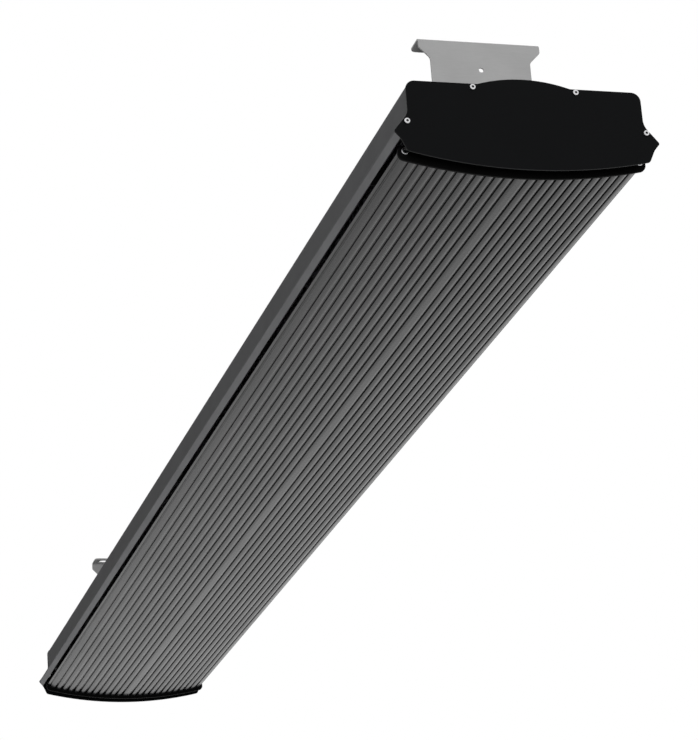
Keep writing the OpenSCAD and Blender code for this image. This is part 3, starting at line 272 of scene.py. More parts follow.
@dataclass(frozen=True)
class Extruded(Finish):
    """Anodised extrusion: die lines along X and a fine speckle, over a faintly clouded layer."""

    line: float = 0.5 * MM
    line_depth: float = 0.01 * MM
    cloud: float = 60 * MM
    speckle: float = 1.3 * MM
    speckle_depth: float = 0.03 * MM
    contrast: float = 0.22
    weights: Point = (0.25, 0.3, 0.45)
    swings: Pair = (0.16, 0.05)

    def surface(self, graph: Graph) -> Surface:
        """Returns what varies over the finish."""
        lines = graph.noise(self.line, stretch=(0.012, 1, 1))
        cloud = graph.patches(self.cloud, stretch=(0.4, 1, 1))
        grain = graph.noise(self.line * 0.6, detail=1)
        speckle = graph.patches(self.speckle, stretch=(0.6, 1, 1), ends=(0.35, 0.65))
        by_line, by_cloud, by_speckle = self.weights
        factor = lines.over(0.35, 0.65) * by_line + cloud * by_cloud + speckle * by_speckle
        colour = self.between(graph, factor, 1 - self.contrast, 1 + self.contrast)
        height = lines * self.line_depth + grain * (self.line_depth / 6) + speckle * self.speckle_depth
        return Surface(colour, self.rough(lines - 0.5, cloud - 0.5), height)


@dataclass(frozen=True)
class Sheet(Finish):
    """Rolled sheet: grain along one axis, soft clouds and a few handling marks."""

    grain: float = 0.4 * MM
    grain_depth: float = 0.006 * MM
    stretch: Point = (1, 0.06, 1)
    cloud: float = 30 * MM
    contrast: float = 0.08
    weights: Pair = (0.6, 0.4)
    mark_share: float = 0.25
    mark_tint: float = 0.8
    swings: Point = (0.2, 0.06, 0.06)

    def surface(self, graph: Graph) -> Surface:
        """Returns what varies over the finish."""
        grain = graph.noise(self.grain, detail=3, stretch=self.stretch)
        cloud = graph.patches(self.cloud, detail=4)
        mark = graph.patches(self.cloud / 4, detail=5, stretch=(1, 0.15, 1), ends=(0.62, 0.72))
        by_cloud, by_grain = self.weights
        factor = cloud * by_cloud + grain.over(0.3, 0.7) * by_grain
        base = self.between(graph, factor, 1 - self.contrast, 1 + self.contrast)
        colour = graph.blend(mark * self.mark_share, base, shade(self.colour, self.mark_tint))
        return Surface(colour, self.rough(grain - 0.5, cloud - 0.5, mark), grain * self.grain_depth)


@dataclass(frozen=True)
class Turned(Finish):
    """Turned or headed metal: fine tool marks, a little tarnish, and painted shade in the sockets."""

    mark: float = 0.25 * MM
    mark_depth: float = 0.003 * MM
    mark_share: float = 0.1
    tarnish: float = 3 * MM
    tarnish_share: float = 0.3
    tarnish_tint: float = 0.6
    # painted shade inside hexagon sockets: how much of it, and how dark
    socket_shade_share: float = 0.9
    socket_shade_tint: float = 0.04
    swings: Point = (0.12, 0.12, 0.2)

    def surface(self, graph: Graph) -> Surface:
        """Returns what varies over the finish."""
        mark = graph.noise(self.mark, detail=3)
        tarnish = graph.patches(self.tarnish, detail=4, ends=(0.42, 0.7))
        recess = graph.node("ShaderNodeAttribute", {"attribute_name": RECESS}, output="Fac")
        factor = tarnish * self.tarnish_share + mark.over(0.3, 0.7) * self.mark_share
        colour = self.between(graph, factor, 1, self.tarnish_tint)
        # paints shade into the socket faces that the recess attribute marks
        colour = graph.blend(recess * self.socket_shade_share, colour, shade(self.colour, self.socket_shade_tint))
        return Surface(colour, self.rough(mark - 0.5, tarnish, recess), mark * self.mark_depth)


@dataclass(frozen=True)
class Zinc(Finish):
    """Bright zinc plate: a faint bluish and straw-coloured bloom over fine crystals."""

    bloom: float = 12 * MM
    bloom_share: float = 0.5
    crystal: float = 1.2 * MM
    crystal_share: float = 0.4
    crystal_tint: float = 0.75
    crystal_depth: float = 0.004 * MM
    straw: Colour = (0.56, 0.52, 0.42)
    swings: Pair = (0.12, 0.08)

    def surface(self, graph: Graph) -> Surface:
        """Returns what varies over the finish."""
        bloom = graph.patches(self.bloom, ends=(0.35, 0.7))
        crystal = graph.cells(self.crystal)
        base = self.between(graph, crystal * self.crystal_share, 1, self.crystal_tint)
        colour = graph.blend(bloom * self.bloom_share, base, self.straw)
        height = graph.noise(self.crystal / 4) * self.crystal_depth
        return Surface(colour, self.rough(crystal, bloom - 0.5), height)


@dataclass(frozen=True)
class Fired(Finish):
    """Fired ceramic: pits, fine grains and darker specks."""

    grain: float = 0.35 * MM
    grain_depth: float = 0.012 * MM
    swings: tuple[float] = (0.2,)
    pit: float = 1.5 * MM
    pit_depth: float = 0.02 * MM
    pit_share: float = 0.35
    pit_tint: float = 0.55
    cloud: float = 8 * MM
    cloud_tint: float = 0.94

    def surface(self, graph: Graph) -> Surface:
        """Returns what varies over the finish."""
        grain = graph.noise(self.grain, detail=3)
        speck = graph.cells(self.pit).over(0.16, 0.05)
        base = self.between(graph, graph.patches(self.cloud), self.cloud_tint, 1)
        colour = graph.blend(speck * self.pit_share, base, shade(self.colour, self.pit_tint))
        height = grain * self.grain_depth - speck * self.pit_depth
        return Surface(colour, self.rough(grain - 0.5), height)


@dataclass(frozen=True)
class Heated(Finish):
    """Heater sheath: a drawn tube darkened by heat, with brown bands along it and darker patches of scale.
    """

    brown: Colour = (0.12, 0.075, 0.045)
    band: float = 90 * MM
    band_share: float = 0.6
    drawn: float = 0.3 * MM
    scale: float = 1.2 * MM
    scale_share: float = 0.4
    scale_tint: float = 0.4
    depth: float = 0.006 * MM
    swings: Pair = (0.2, 0.12)

    def surface(self, graph: Graph) -> Surface:
        """Returns what varies over the finish."""
        band = graph.patches(self.band, stretch=(1, 0.2, 0.2), ends=(0.35, 0.65))
        drawn = graph.noise(self.drawn, stretch=(0.02, 1, 1))
        scale = graph.patches(self.scale, detail=4, ends=(0.45, 0.7))
        colour = graph.blend(band * self.band_share, self.colour, self.brown)
        colour = graph.blend(scale * self.scale_share, colour, shade(self.colour, self.scale_tint))
        return Surface(colour, self.rough(scale, drawn - 0.5), drawn * self.depth + scale * self.depth)


@dataclass(frozen=True)
class Felted(Finish):
    """Ceramic-fibre felt: long crossed fibres, tufts and faint stains."""

    fibre: float = 0.9 * MM
    fibre_depth: float = 0.15 * MM
    fibre_tint: float = 0.86
    swings: tuple[float] = (0.1,)
    tuft: float = 9 * MM
    tuft_depth: float = 0.5 * MM
    stain: Colour = (0.66, 0.6, 0.5)
    stain_size: float = 50 * MM
    stain_share: float = 0.35

    def surface(self, graph: Graph) -> Surface:
        """Returns what varies over the finish."""
        along, across = [graph.noise(self.fibre, detail=4, stretch=stretch)
                         for stretch in ((0.15, 1, 1), (1, 0.15, 1))]
        fibres = along + across
        base = self.between(graph, fibres.over(0.8, 1.2), self.fibre_tint, 1)
        stain = graph.patches(self.stain_size, ends=(0.5, 0.8))
        colour = graph.blend(stain * self.stain_share, base, self.stain)
        height = fibres * self.fibre_depth + graph.noise(self.tuft, detail=3) * self.tuft_depth
        return Surface(colour, self.rough(fibres - 1), height)


@dataclass(frozen=True)
class Moulded(Finish):
    """Moulded plastic or rubber: a fine spark-eroded grain and slight flow marks."""

    grain: float = 0.3 * MM
    grain_depth: float = 0.01 * MM
    flow: float = 7 * MM
    contrast: float = 0.12
    swings: Pair = (0.14, 0.08)

    def surface(self, graph: Graph) -> Surface:
        """Returns what varies over the finish."""
        grain = graph.noise(self.grain)
        flow = graph.patches(self.flow)
        colour = self.between(graph, flow, 1 - self.contrast, 1 + self.contrast)
        return Surface(colour, self.rough(grain - 0.5, flow - 0.5), grain * self.grain_depth)


@dataclass(frozen=True)
class Braided(Finish):
    """Glass-braid sleeve: crossed strands with fine threads between them."""

    strand: float = 0.8 * MM
    strand_depth: float = 0.08 * MM
    thread_depth: float = 0.02 * MM
    swings: tuple[float] = (0.2,)
    weights: Pair = (0.6, 0.3)
    tints: Pair = (1.15, 0.7)

    def surface(self, graph: Graph) -> Surface:
        """Returns what varies over the finish."""
        strand = graph.cells(self.strand)
        thread = graph.noise(self.strand / 4, detail=3)
        by_strand, by_thread = self.weights
        factor = strand.over(0.2, 0.7) * by_strand + thread.over(0.35, 0.65) * by_thread
        colour = self.between(graph, factor, *self.tints)
        height = (1 - strand) * self.strand_depth + thread * self.thread_depth
        return Surface(colour, self.rough(thread - 0.5), height)


@dataclass(frozen=True)
class Flaked(Finish):
    """Pressed mica: thin overlapping flakes of lighter and darker tone, with darker veins."""

    flake: float = 1.8 * MM
    flake_depth: float = 0.02 * MM
    swings: tuple[float] = (0.25,)
    flake_middle: float = 0.4
    tints: Pair = (1.15, 0.8)
    vein_share: float = 0.4
    vein_tint: float = 0.5

    def surface(self, graph: Graph) -> Surface:
        """Returns what varies over the finish."""
        flake = graph.cells(self.flake, stretch=(1, 1, 3))
        vein = graph.patches(self.flake / 2, detail=4, ends=(0.45, 0.7))
        colour = self.between(graph, flake.over(0, 0.8), *self.tints)
        colour = graph.blend(vein * self.vein_share, colour, shade(self.colour, self.vein_tint))
        return Surface(colour, self.rough(flake - self.flake_middle), flake * self.flake_depth)


FINISHES: dict[str, Finish] = {finish.slot: finish for finish in (
    PowderCoat("housing_black", (0.140, 0.141, 0.144), 0.6, specular=0.01),
    PowderCoat("plate_black", (0.0024, 0.0026, 0.0029), 0.45, specular=0.06),
    Extruded("panel_black", (0.004, 0.0041, 0.0044), 0.24, specular=0.33),
    PowderCoat("cap_black", (0.003, 0.003, 0.003), 0.6, specular=0.03),
    Turned("bright_screw", (0.72, 0.72, 0.73), 0.26, 1.0),
    Heated("element_sheath", (0.20, 0.20, 0.19), 0.42, 0.9),
    Turned("terminal_pin", (0.50, 0.48, 0.42), 0.35, 1.0),
    Fired("ceramic_white", (0.82, 0.80, 0.75), 0.6),
    Flaked("mica", (0.60, 0.52, 0.38), 0.45),
    Zinc("zinc_steel", (0.50, 0.51, 0.52), 0.38, 0.95),
    Sheet("tray_bright", (0.78, 0.79, 0.80), 0.28, 1.0, stretch=(0.03, 1, 1)),
    Felted("blanket_white", (0.80, 0.79, 0.74), 0.9, specular=0.2),
    Turned("brass", (0.58, 0.42, 0.17), 0.32, 1.0),
    Moulded("cut_out_case", (0.035, 0.025, 0.02), 0.45),
    Braided("lead_brown", (0.16, 0.07, 0.03), 0.7),
    Braided("lead_blue", (0.05, 0.12, 0.35), 0.7),
    Braided("lead_green", (0.10, 0.32, 0.06), 0.7),
    Braided("lead_grey", (0.22, 0.22, 0.22), 0.7),
    Moulded("gland_black", (0.02, 0.02, 0.021), 0.5),
    Moulded("seal_grey", (0.06, 0.06, 0.062), 0.7),
    Sheet("hanger_grey", (0.405, 0.405, 0.405), 0.5, 0.1, specular=0.1),
    Sheet("foot_steel", (0.36, 0.36, 0.365), 0.45, 0.6, specular=0.4),
    Turned("fastener_steel", (0.60, 0.60, 0.61), 0.3, 1.0),
)}


# ---------------------------------------------------------------- bench tools


def solids_of(node: str) -> list[tuple[Vector, Vector]]:
    """Finds the separate solids of a CAD node.

    Args:
        node: The node's name.

    Returns:
        The middle and the sides of the box round each solid, sorted by the middle.
    """
    shape = bmesh.new()
    shape.from_mesh(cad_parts[node].data)
    bmesh.ops.remove_doubles(shape, verts=shape.verts, dist=TINY)
    waiting, boxes = set(shape.verts), []
    while waiting:
        group, edge = [], [waiting.pop()]
        while edge:
            vertex = edge.pop()
            group.append(vertex.co.copy())
            near = [e.other_vert(vertex) for e in vertex.link_edges]
            fresh = [other for other in near if other in waiting]
            waiting.difference_update(fresh)
            edge.extend(fresh)
        low, high = [Vector([end(point[i] for point in group) for i in range(3)]) for end in (min, max)]
        boxes.append(((low + high) / 2, high - low))
    shape.free()
    return sorted(boxes, key=lambda box: tuple(round(value, 5) for value in box[0]))


def link(thing: Piece) -> None:
    """Puts an object into the scene."""
    bpy.context.scene.collection.objects.link(thing)


def deselect() -> None:
    """Deselects every object."""
    bpy.ops.object.select_all(action="DESELECT")


def only(piece: Piece) -> None:
    """Selects one object and makes it active."""
    deselect()
    piece.select_set(True)
    bpy.context.view_layer.objects.active = piece


@contextmanager
def editing(piece: Piece, mode: str = "FACE") -> Iterator[EditMesh]:
    """Opens a piece in edit mode with nothing selected.

    Args:
        piece: The mesh object.
        mode: What is selected there: VERT, EDGE or FACE.

    Yields:
        The edit mesh.
    """
    only(piece)
    bpy.ops.object.mode_set(mode="EDIT")
    bpy.ops.mesh.select_mode(type=mode)
    bpy.ops.mesh.select_all(action="DESELECT")
    yield bmesh.from_edit_mesh(piece.data)
    bpy.ops.object.mode_set(mode="OBJECT")


def choose(shape: EditMesh, test: Callable[[Vector, Vector], bool]) -> None:
    """Selects the faces that pass a test and nothing else.

    Args:
        shape: The edit mesh.
        test: Takes a face's middle and normal.
    """
    for face in shape.faces:
        face.select_set(test(face.calc_center_median(), face.normal))
    shape.select_flush_mode()


def apply_modifier(piece: Piece, kind: str, **settings: object) -> None:
    """Adds a modifier to a piece and applies it.

    Args:
        piece: The mesh object.
        kind: The modifier's type.
        **settings: The modifier's settings.
    """
    only(piece)
    modifier = piece.modifiers.new(kind.lower(), kind)
    for name, value in settings.items():
        setattr(modifier, name, value)
    bpy.ops.object.modifier_apply(modifier=modifier.name)


def soften(piece: Piece, width: float, angle: float = 32, segments: int = 2) -> Piece:
    """Rounds a piece's sharp edges a little and shades it.

    Args:
        piece: The mesh object.
        width: Width of the rounding.
        angle: Edges sharper than this are rounded, in degrees.
        segments: Facets across a rounded edge.

    Returns:
        The piece.
    """
    if width:
        apply_modifier(piece, "BEVEL", width=width, segments=segments, limit_method="ANGLE",
                       angle_limit=math.radians(angle), use_clamp_overlap=False, miter_outer="MITER_ARC")
    only(piece)
    bpy.ops.object.shade_smooth_by_angle(angle=math.radians(angle + SMOOTH_MORE))
    apply_modifier(piece, "WEIGHTED_NORMAL", mode="FACE_AREA", weight=60, keep_sharp=True)
    return piece


def bore(piece: Piece, tool: Piece, operation: str = "DIFFERENCE") -> Piece:
    """Cuts a piece with a tool, or joins or meets them, and puts the tool away.

    Args:
        piece: The mesh object that stays.
        tool: The mesh object that is used up.
        operation: DIFFERENCE, UNION or INTERSECT.

    Returns:
        The piece.
    """
    apply_modifier(piece, "BOOLEAN", object=tool, operation=operation, solver="EXACT")
    bpy.data.objects.remove(tool)
    return piece


def cylinder(radius: float, low: float, high: float, sides: int = ROUND) -> Piece:
    """Adds a cylinder that stands on Z.

    Args:
        radius: Its radius, out to its corners.
        low: The height of its foot.
        high: The height of its top.
        sides: How many sides it has.

    Returns:
        The object, at the origin.
    """
    deselect()
    bpy.ops.mesh.primitive_cylinder_add(vertices=sides, radius=radius, depth=high - low,
                                        location=(0, 0, (low + high) / 2))
    bpy.ops.object.transform_apply(location=True, rotation=True, scale=True)
    return bpy.context.active_object


def spindle(radius: float, low: float, rings: Sequence[Pair], sides: int = ROUND) -> Piece:
    """Makes a turned shape, from a disc drawn up ring by ring.

    Args:
        radius: Radius of its foot.
        low: Height of its foot.
        rings: Radius and height of each further ring, upwards.
        sides: How many sides it has.

    Returns:
        The object, at the origin.
    """
    height = rings[0][1]
    piece = cylinder(radius, low, height, sides)
    with editing(piece) as shape:
        for ring, top in rings:
            choose(shape, lambda middle, normal: middle.z > height - TINY and normal.z > UPWARD)
            if top > height:
                bpy.ops.mesh.extrude_region_move(TRANSFORM_OT_translate={"value": (0, 0, top - height)})
            bpy.ops.transform.resize(value=(ring / radius, ring / radius, 1), center_override=(0, 0, top))
            radius, height = ring, top
    return piece


def hexagon(width: float, low: float, high: float, foot_chamfer: bool = False) -> Piece:
    """Makes a hexagon bar with the chamfered corners of a bolt's head.

    Args:
        width: Width across its flats.
        low: Height of its foot.
        high: Height of its top.
        foot_chamfer: True if its foot is chamfered too, as a nut's is.

    Returns:
        The object, at the origin.
    """
    corner, rim = width / math.sqrt(3), width * CORNER_RIM
    drop = (corner - rim) * CORNER_SLOPE
    piece = cylinder(corner, low, high, 6)
    if foot_chamfer:
        tool = spindle(rim, low, [(corner, low + drop), (corner, high - drop), (rim, high)])
    else:
        tool = spindle(corner, low, [(corner, high - drop), (rim, high)])
    return bore(piece, tool, "INTERSECT")


def thread(radius: float, low: float, high: float, pitch: float, sides: int = TURN) -> Piece:
    """Makes a threaded rod that stands on Z, with its top end chamfered.

    Args:
        radius: Radius over the crests.
        low: Height of its foot.
        high: Height of its top.
        pitch: The thread's pitch.
        sides: Facets in each turn.

    Returns:
        The object, at the origin.
    """
    root = radius - THREAD_DEPTH * pitch
    turns = math.ceil((high - low) / pitch) + 2
    deselect()
    bpy.ops.mesh.primitive_circle_add(vertices=3, radius=radius)
    piece = bpy.context.active_object
    with editing(piece, "EDGE") as shape:
        corners = sorted(shape.verts, key=lambda vertex: vertex.index)
        start = low - pitch
        for corner, (out, up) in zip(corners, ((root, 0), (radius, pitch / 2), (root, pitch))):
            corner.co = (out, 0, start + up)
        for edge in shape.edges:
            edge.select_set({vertex.index for vertex in edge.verts} == {0, 2})
        bpy.ops.mesh.delete(type="EDGE")
    apply_modifier(piece, "SCREW", angle=math.tau, screw_offset=pitch, iterations=turns,
                   steps=sides, render_steps=sides, axis="Z", use_smooth_shade=False)
    with editing(piece, "VERT") as shape:
        bpy.ops.mesh.select_all(action="SELECT")
        bpy.ops.mesh.remove_doubles(threshold=TINY)
        bpy.ops.mesh.fill_holes(sides=0)
        bpy.ops.mesh.select_all(action="SELECT")
        bpy.ops.mesh.normals_make_consistent(inside=False)
        bpy.ops.mesh.bisect(plane_co=(0, 0, low), plane_no=(0, 0, 1), use_fill=True, clear_inner=True)
        bpy.ops.mesh.select_all(action="SELECT")
        bpy.ops.mesh.bisect(plane_co=(0, 0, high), plane_no=(0, 0, 1), use_fill=True, clear_outer=True)
        for vertex in bmesh.from_edit_mesh(piece.data).verts:
            limit = root + max(0.0, high - vertex.co.z)
            reach = vertex.co.xy.length
            if reach > limit:
                vertex.co.xy *= limit / reach
    return piece


def turn_to(direction: Vector, upright: Vector, place: Vector) -> Matrix:
    """Works out where a piece that was made standing on Z goes.

    Args:
        direction: Where its Z points.
        upright: Where its Y points.
        place: Where its origin lies.

    Returns:
        The matrix that takes it there.
    """
    z, y = direction.normalized(), upright.normalized()
    turned = Matrix((y.cross(z), y, z)).transposed().to_4x4()
    return Matrix.Translation(place) @ turned


def copies(model: Piece, name: str, places: Sequence[Matrix]) -> Piece:
    """Copies a model to each place, joins the copies and puts the model away.

    Args:
        model: The mesh object, made at the origin.
        name: The new piece's name.
        places: Where each copy goes.

    Returns:
        The joined piece.
    """
    made = []
    for place in places:
        copy = model.copy()
        copy.data = model.data.copy()
        copy.data.transform(place)
        link(copy)
        made.append(copy)
    bpy.data.objects.remove(model)
    only(made[0])
    for copy in made[1:]:
        copy.select_set(True)
    if len(made) > 1:
        bpy.ops.object.join()
    made[0].name = made[0].data.name = name
    return made[0]


def finish_piece(piece: Piece, slot: str, body: str, node: str) -> None:
    """Gives a piece its finish, its body and the CAD node that it stands for.

    Args:
        piece: The finished mesh object.
        slot: The material slot.
        body: The CAD body that it rides on.
        node: The CAD node that it replaces.
    """
    piece.data.materials.clear()
    piece.data.materials.append(FINISHES[slot].material())
    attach(piece, body)
    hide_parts(node)
    LOG.info("%s: %d faces, %s, on %s", piece.name, len(piece.data.polygons), slot, body)


def copy_of(node: str, name: str) -> Piece:
    """Copies a CAD node's mesh and makes its loose triangles one clean shape.

    Args:
        node: The CAD node.
        name: The copy's name.

    Returns:
        The copy, with its flat faces merged.
    """
    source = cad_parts[node]
    piece = bpy.data.objects.new(name, source.data.copy())
    piece.data.name = name
    link(piece)
    only(piece)
    if piece.data.has_custom_normals:
        bpy.ops.mesh.customdata_custom_splitnormals_clear()
    with editing(piece, "VERT"):
        bpy.ops.mesh.select_all(action="SELECT")
        bpy.ops.mesh.remove_doubles(threshold=TINY)
        bpy.ops.mesh.dissolve_limited(angle_limit=FLAT)
    return piece


# ---------------------------------------------------------------- fasteners


class Head(Enum):
    """The heads that the heater's fasteners have."""

    SOCKET = "round head with a hexagon socket"
    HEXAGON = "hexagon head"
    SQUARE = "square head that a channel holds"


class Fastener:
    """A screw or nut. Subclasses model it standing on Z at the origin."""

    def rise(self, length: float) -> float:
        """Returns how far along the direction the origin lies from a solid's middle."""
        raise NotImplementedError

    def model(self, length: float) -> Piece:
        """Returns the fastener as long as its solid, at the origin."""
        raise NotImplementedError

    def build(self, node: str, slot: str, body: str, direction: Vector = Z_AXIS,
              upright: Vector = X_AXIS) -> None:
        """Builds every fastener of a CAD node as one piece.

        Args:
            node: The CAD node.
            slot: The material slot.
            body: The CAD body.
            direction: Where each fastener's top points.
            upright: Where a corner of each points.
        """
        solids = solids_of(node)
        length = abs(solids[0][1].dot(direction))
        step = direction * self.rise(length)
        places = [turn_to(direction, upright, middle + step) for middle, _ in solids]
        finish_piece(copies(self.model(length), node + "_piece", places), slot, body, node)


@dataclass(frozen=True)
class Screw(Fastener):
    """A screw or bolt with its head's seat at the origin, pointing down."""

    head: Head
    head_width: float
    head_height: float
    radius: float
    pitch: float
    socket_width: float = 0.0
    socket_depth: float = 0.0
    crest_gap: float = 0.02 * MM
    crown_share: float = 0.22
    crown_bend: float = 0.35
    flare_share: float = 0.18

    def _head(self) -> Piece:
        """Returns the head on its own."""
        half, top = self.head_width / 2, self.head_height
        if self.head is Head.HEXAGON:
            return hexagon(self.head_width, 0, top)
        if self.head is Head.SQUARE:
            piece = cylinder(half * math.sqrt(2), 0, top, 4)
            piece.data.transform(Matrix.Rotation(math.radians(45), 4, "Z"))
            return piece
        crown = top * self.crown_share
        bend = crown * self.crown_bend
        piece = spindle(half, 0, [(half, top - crown), (half - bend, top - bend), (half - crown, top)])
        mouth = self.socket_width / math.sqrt(3)
        flare = mouth * self.flare_share
        rings = [(mouth, top - flare), (mouth + 2 * flare, top + flare)]
        return bore(piece, spindle(mouth, top - self.socket_depth, rings, 6))

    def _mark_socket(self, piece: Piece) -> None:
        """Marks the faces inside the socket, so that a finish can paint shade on them.

        Args:
            piece: The screw, with its head's seat at the origin.
        """
        marks = piece.data.attributes.new(RECESS, "FLOAT", "FACE")
        reach = self.socket_width / math.sqrt(3) + TINY
        for face, mark in zip(piece.data.polygons, marks.data):
            inside = face.center.xy.length < reach and face.center.z < self.head_height - TINY
            mark.value = float(inside and face.center.z > 0)

    def rise(self, length: float) -> float:
        """Returns how far along the direction the head's seat lies from a solid's middle."""
        return length / 2 - self.head_height

    def model(self, length: float) -> Piece:
        """Returns the screw with its threaded shank, which starts inside the head."""
        inside = self.head_height / 4
        shank = thread(self.radius - self.crest_gap, 0, length - self.head_height + inside, self.pitch)
        shank.data.transform(Matrix.Rotation(math.pi, 4, "X") @ Matrix.Translation((0, 0, -inside)))
        piece = bore(self._head(), shank, "UNION")
        if self.head is Head.SOCKET:
            self._mark_socket(piece)
        return soften(piece, width=0, angle=30)


@dataclass(frozen=True)
class Nut(Fastener):
    """A hexagon nut with its foot at the origin."""

    width: float
    hole: float
    flare_share: float = 0.1

    def rise(self, length: float) -> float:
        """Returns how far along the direction the nut's foot lies from a solid's middle."""
        return -length / 2

    def model(self, length: float) -> Piece:
        """Returns the nut, at the origin."""
        flare = self.hole * self.flare_share
        mouth = self.hole + 2 * flare
        rings = [(self.hole, flare), (self.hole, length - flare), (mouth, length + flare)]
        piece = bore(hexagon(self.width, 0, length, foot_chamfer=True), spindle(mouth, -flare, rings))
        return soften(piece, width=0, angle=25)


PLATE_SCREW = Screw(Head.SOCKET, 4 * MM, 1.5 * MM, 1.25 * MM, 0.45 * MM, 1.5 * MM, 1 * MM)
CAP_SCREW = Screw(Head.SOCKET, 5 * MM, 1.8 * MM, 1.25 * MM, 0.45 * MM, 2 * MM, 1 * MM)
CLAMP_SCREW = Screw(Head.SOCKET, 5.2 * MM, 1.7 * MM, 1.45 * MM, 0.5 * MM, 2 * MM, 1 * MM)
FIXING = Screw(Head.SOCKET, 5.6 * MM, 1.8 * MM, 1.5 * MM, 0.5 * MM, 2 * MM, 1 * MM)
PIVOT_BOLT = Screw(Head.HEXAGON, 13 * MM, 5.3 * MM, 4 * MM, 1.25 * MM)
LOCK_BOLT = Screw(Head.HEXAGON, 10 * MM, 4 * MM, 3 * MM, 1 * MM)
RAIL_BOLT = Screw(Head.SQUARE, 13 * MM, 4 * MM, 4 * MM, 1.25 * MM)
PANEL_BOLT = Screw(Head.SQUARE, 10 * MM, 4 * MM, 2.5 * MM, 0.8 * MM)
M8_NUT = Nut(13 * MM, 4.06 * MM)
M6_NUT = Nut(10 * MM, 3.06 * MM)
M5_NUT = Nut(8 * MM, 2.56 * MM)
M4_NUT = Nut(7 * MM, 2.06 * MM)


# ---------------------------------------------------------------- the heater's sub-assemblies


@dataclass
class Assembly:
    """A sub-assembly, most of whose pieces ride on one CAD body."""

    body: str = "bar"

    def refine(self, node: str, slot: str, width: float = 0.15 * MM, segments: int = 2, angle: float = 32,
               body: str = "") -> None:
        """Builds a piece from a CAD node, with its edges rounded a little, as the real piece's are.

        Args:
            node: The CAD node.
            slot: The material slot.
            width: Width of the rounding.
            segments: Facets across a rounded edge.
            angle: Edges sharper than this are rounded, in degrees.
            body: The CAD body, if not the sub-assembly's own.
        """
        piece = soften(copy_of(node, node + "_piece"), width, angle, segments)
        finish_piece(piece, slot, body or self.body, node)

    def build(self) -> None:
        """Builds and dresses the sub-assembly."""
        raise NotImplementedError


@dataclass
class Shell(Assembly):
    """The housing, its two end plates and the screws that hold them."""

    edge: float = 0.25 * MM
    plate_edge: float = 0.3 * MM

    def build(self) -> None:
        """Builds and dresses the shell."""
        self.refine("housing", "housing_black", self.edge, 3)
        for side, direction in (("right", X_AXIS), ("left", -X_AXIS)):
            self.refine(side + "_end_plate", "plate_black", self.plate_edge, 3)
            PLATE_SCREW.build(side + "_plate_screws", "bright_screw", self.body, direction, Z_AXIS)


@dataclass
class RibbedPanel(Assembly):
    """The ribbed radiant panel, its caps and their screws."""

    rib_edge: float = 0.2 * MM
    rib_angle: float = 28
    cap_edge: float = 0.25 * MM

    def build(self) -> None:
        """Builds and dresses the panel."""
        self.refine("radiant_panel", "panel_black", self.rib_edge, 3, self.rib_angle)
        for side, direction in (("right", X_AXIS), ("left", -X_AXIS)):
            self.refine(side + "_panel_cap", "cap_black", self.cap_edge)
            CAP_SCREW.build(side + "_cap_screws", "bright_screw", self.body, direction, Z_AXIS)


@dataclass
class HeatingSet(Assembly):
    """The two tubular elements, with what ends and holds them."""

    edge: float = 0.3 * MM
    clamp_edge: float = 0.12 * MM

    def build(self) -> None:
        """Builds and dresses the elements."""
        for name in ("front_element", "rear_element"):
            self.refine(name, "element_sheath", self.edge)
        self.refine("element_pins", "terminal_pin")
        self.refine("element_beads", "ceramic_white", self.edge)
        self.refine("element_clamps", "zinc_steel", self.clamp_edge)
        CLAMP_SCREW.build("clamp_screws", "zinc_steel", self.body)


@dataclass
class Inside(Assembly):
    """The cross bars that carry the panel, the reflector tray and the insulation blanket."""

    cross_edge: float = 0.3 * MM
    washer_edge: float = 0.2 * MM
    tray_edge: float = 0.12 * MM
    voxel: float = 5 * MM
    smoothing: float = 0.5
    smoothing_rounds: int = 4
    swell: float = 1.3 * MM
    swell_middle: float = 0.9
    lump: float = 38 * MM

    def _blanket(self) -> None:
        """Builds the blanket as a soft mat with rounded edges and an uneven face."""
        piece = copy_of("insulation_blanket", "insulation_blanket_piece")
        low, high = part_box("insulation_blanket")
        apply_modifier(piece, "REMESH", mode="VOXEL", voxel_size=self.voxel)
        apply_modifier(piece, "SMOOTH", factor=self.smoothing, iterations=self.smoothing_rounds)
        clouds = bpy.data.textures.new("blanket_lumps", "CLOUDS")
        clouds.noise_scale = self.lump
        apply_modifier(piece, "DISPLACE", texture=clouds, strength=self.swell,
                       mid_level=self.swell_middle, texture_coords="GLOBAL")
        apply_modifier(piece, "SUBSURF", levels=1, render_levels=1)
        for vertex in piece.data.vertices:
            vertex.co = Vector([min(max(value, a), b) for value, a, b in zip(vertex.co, low, high)])
        only(piece)
        bpy.ops.object.shade_smooth()
        finish_piece(piece, "blanket_white", self.body, "insulation_blanket")

    def build(self) -> None:
        """Builds and dresses the inside."""
        # The cross bars take the black cap finish as painted shade, so that they stay dark where they show
        # through the gap between the housing's lip and the panel.
        self.refine("cross_bars", "cap_black", self.cross_edge)
        PANEL_BOLT.build("panel_bolts", "zinc_steel", self.body, -Z_AXIS, Y_AXIS)
        M5_NUT.build("panel_nuts", "zinc_steel", self.body)
        self.refine("isolating_washers", "mica", self.washer_edge)
        self.refine("reflector_tray", "tray_bright", self.tray_edge)
        self._blanket()


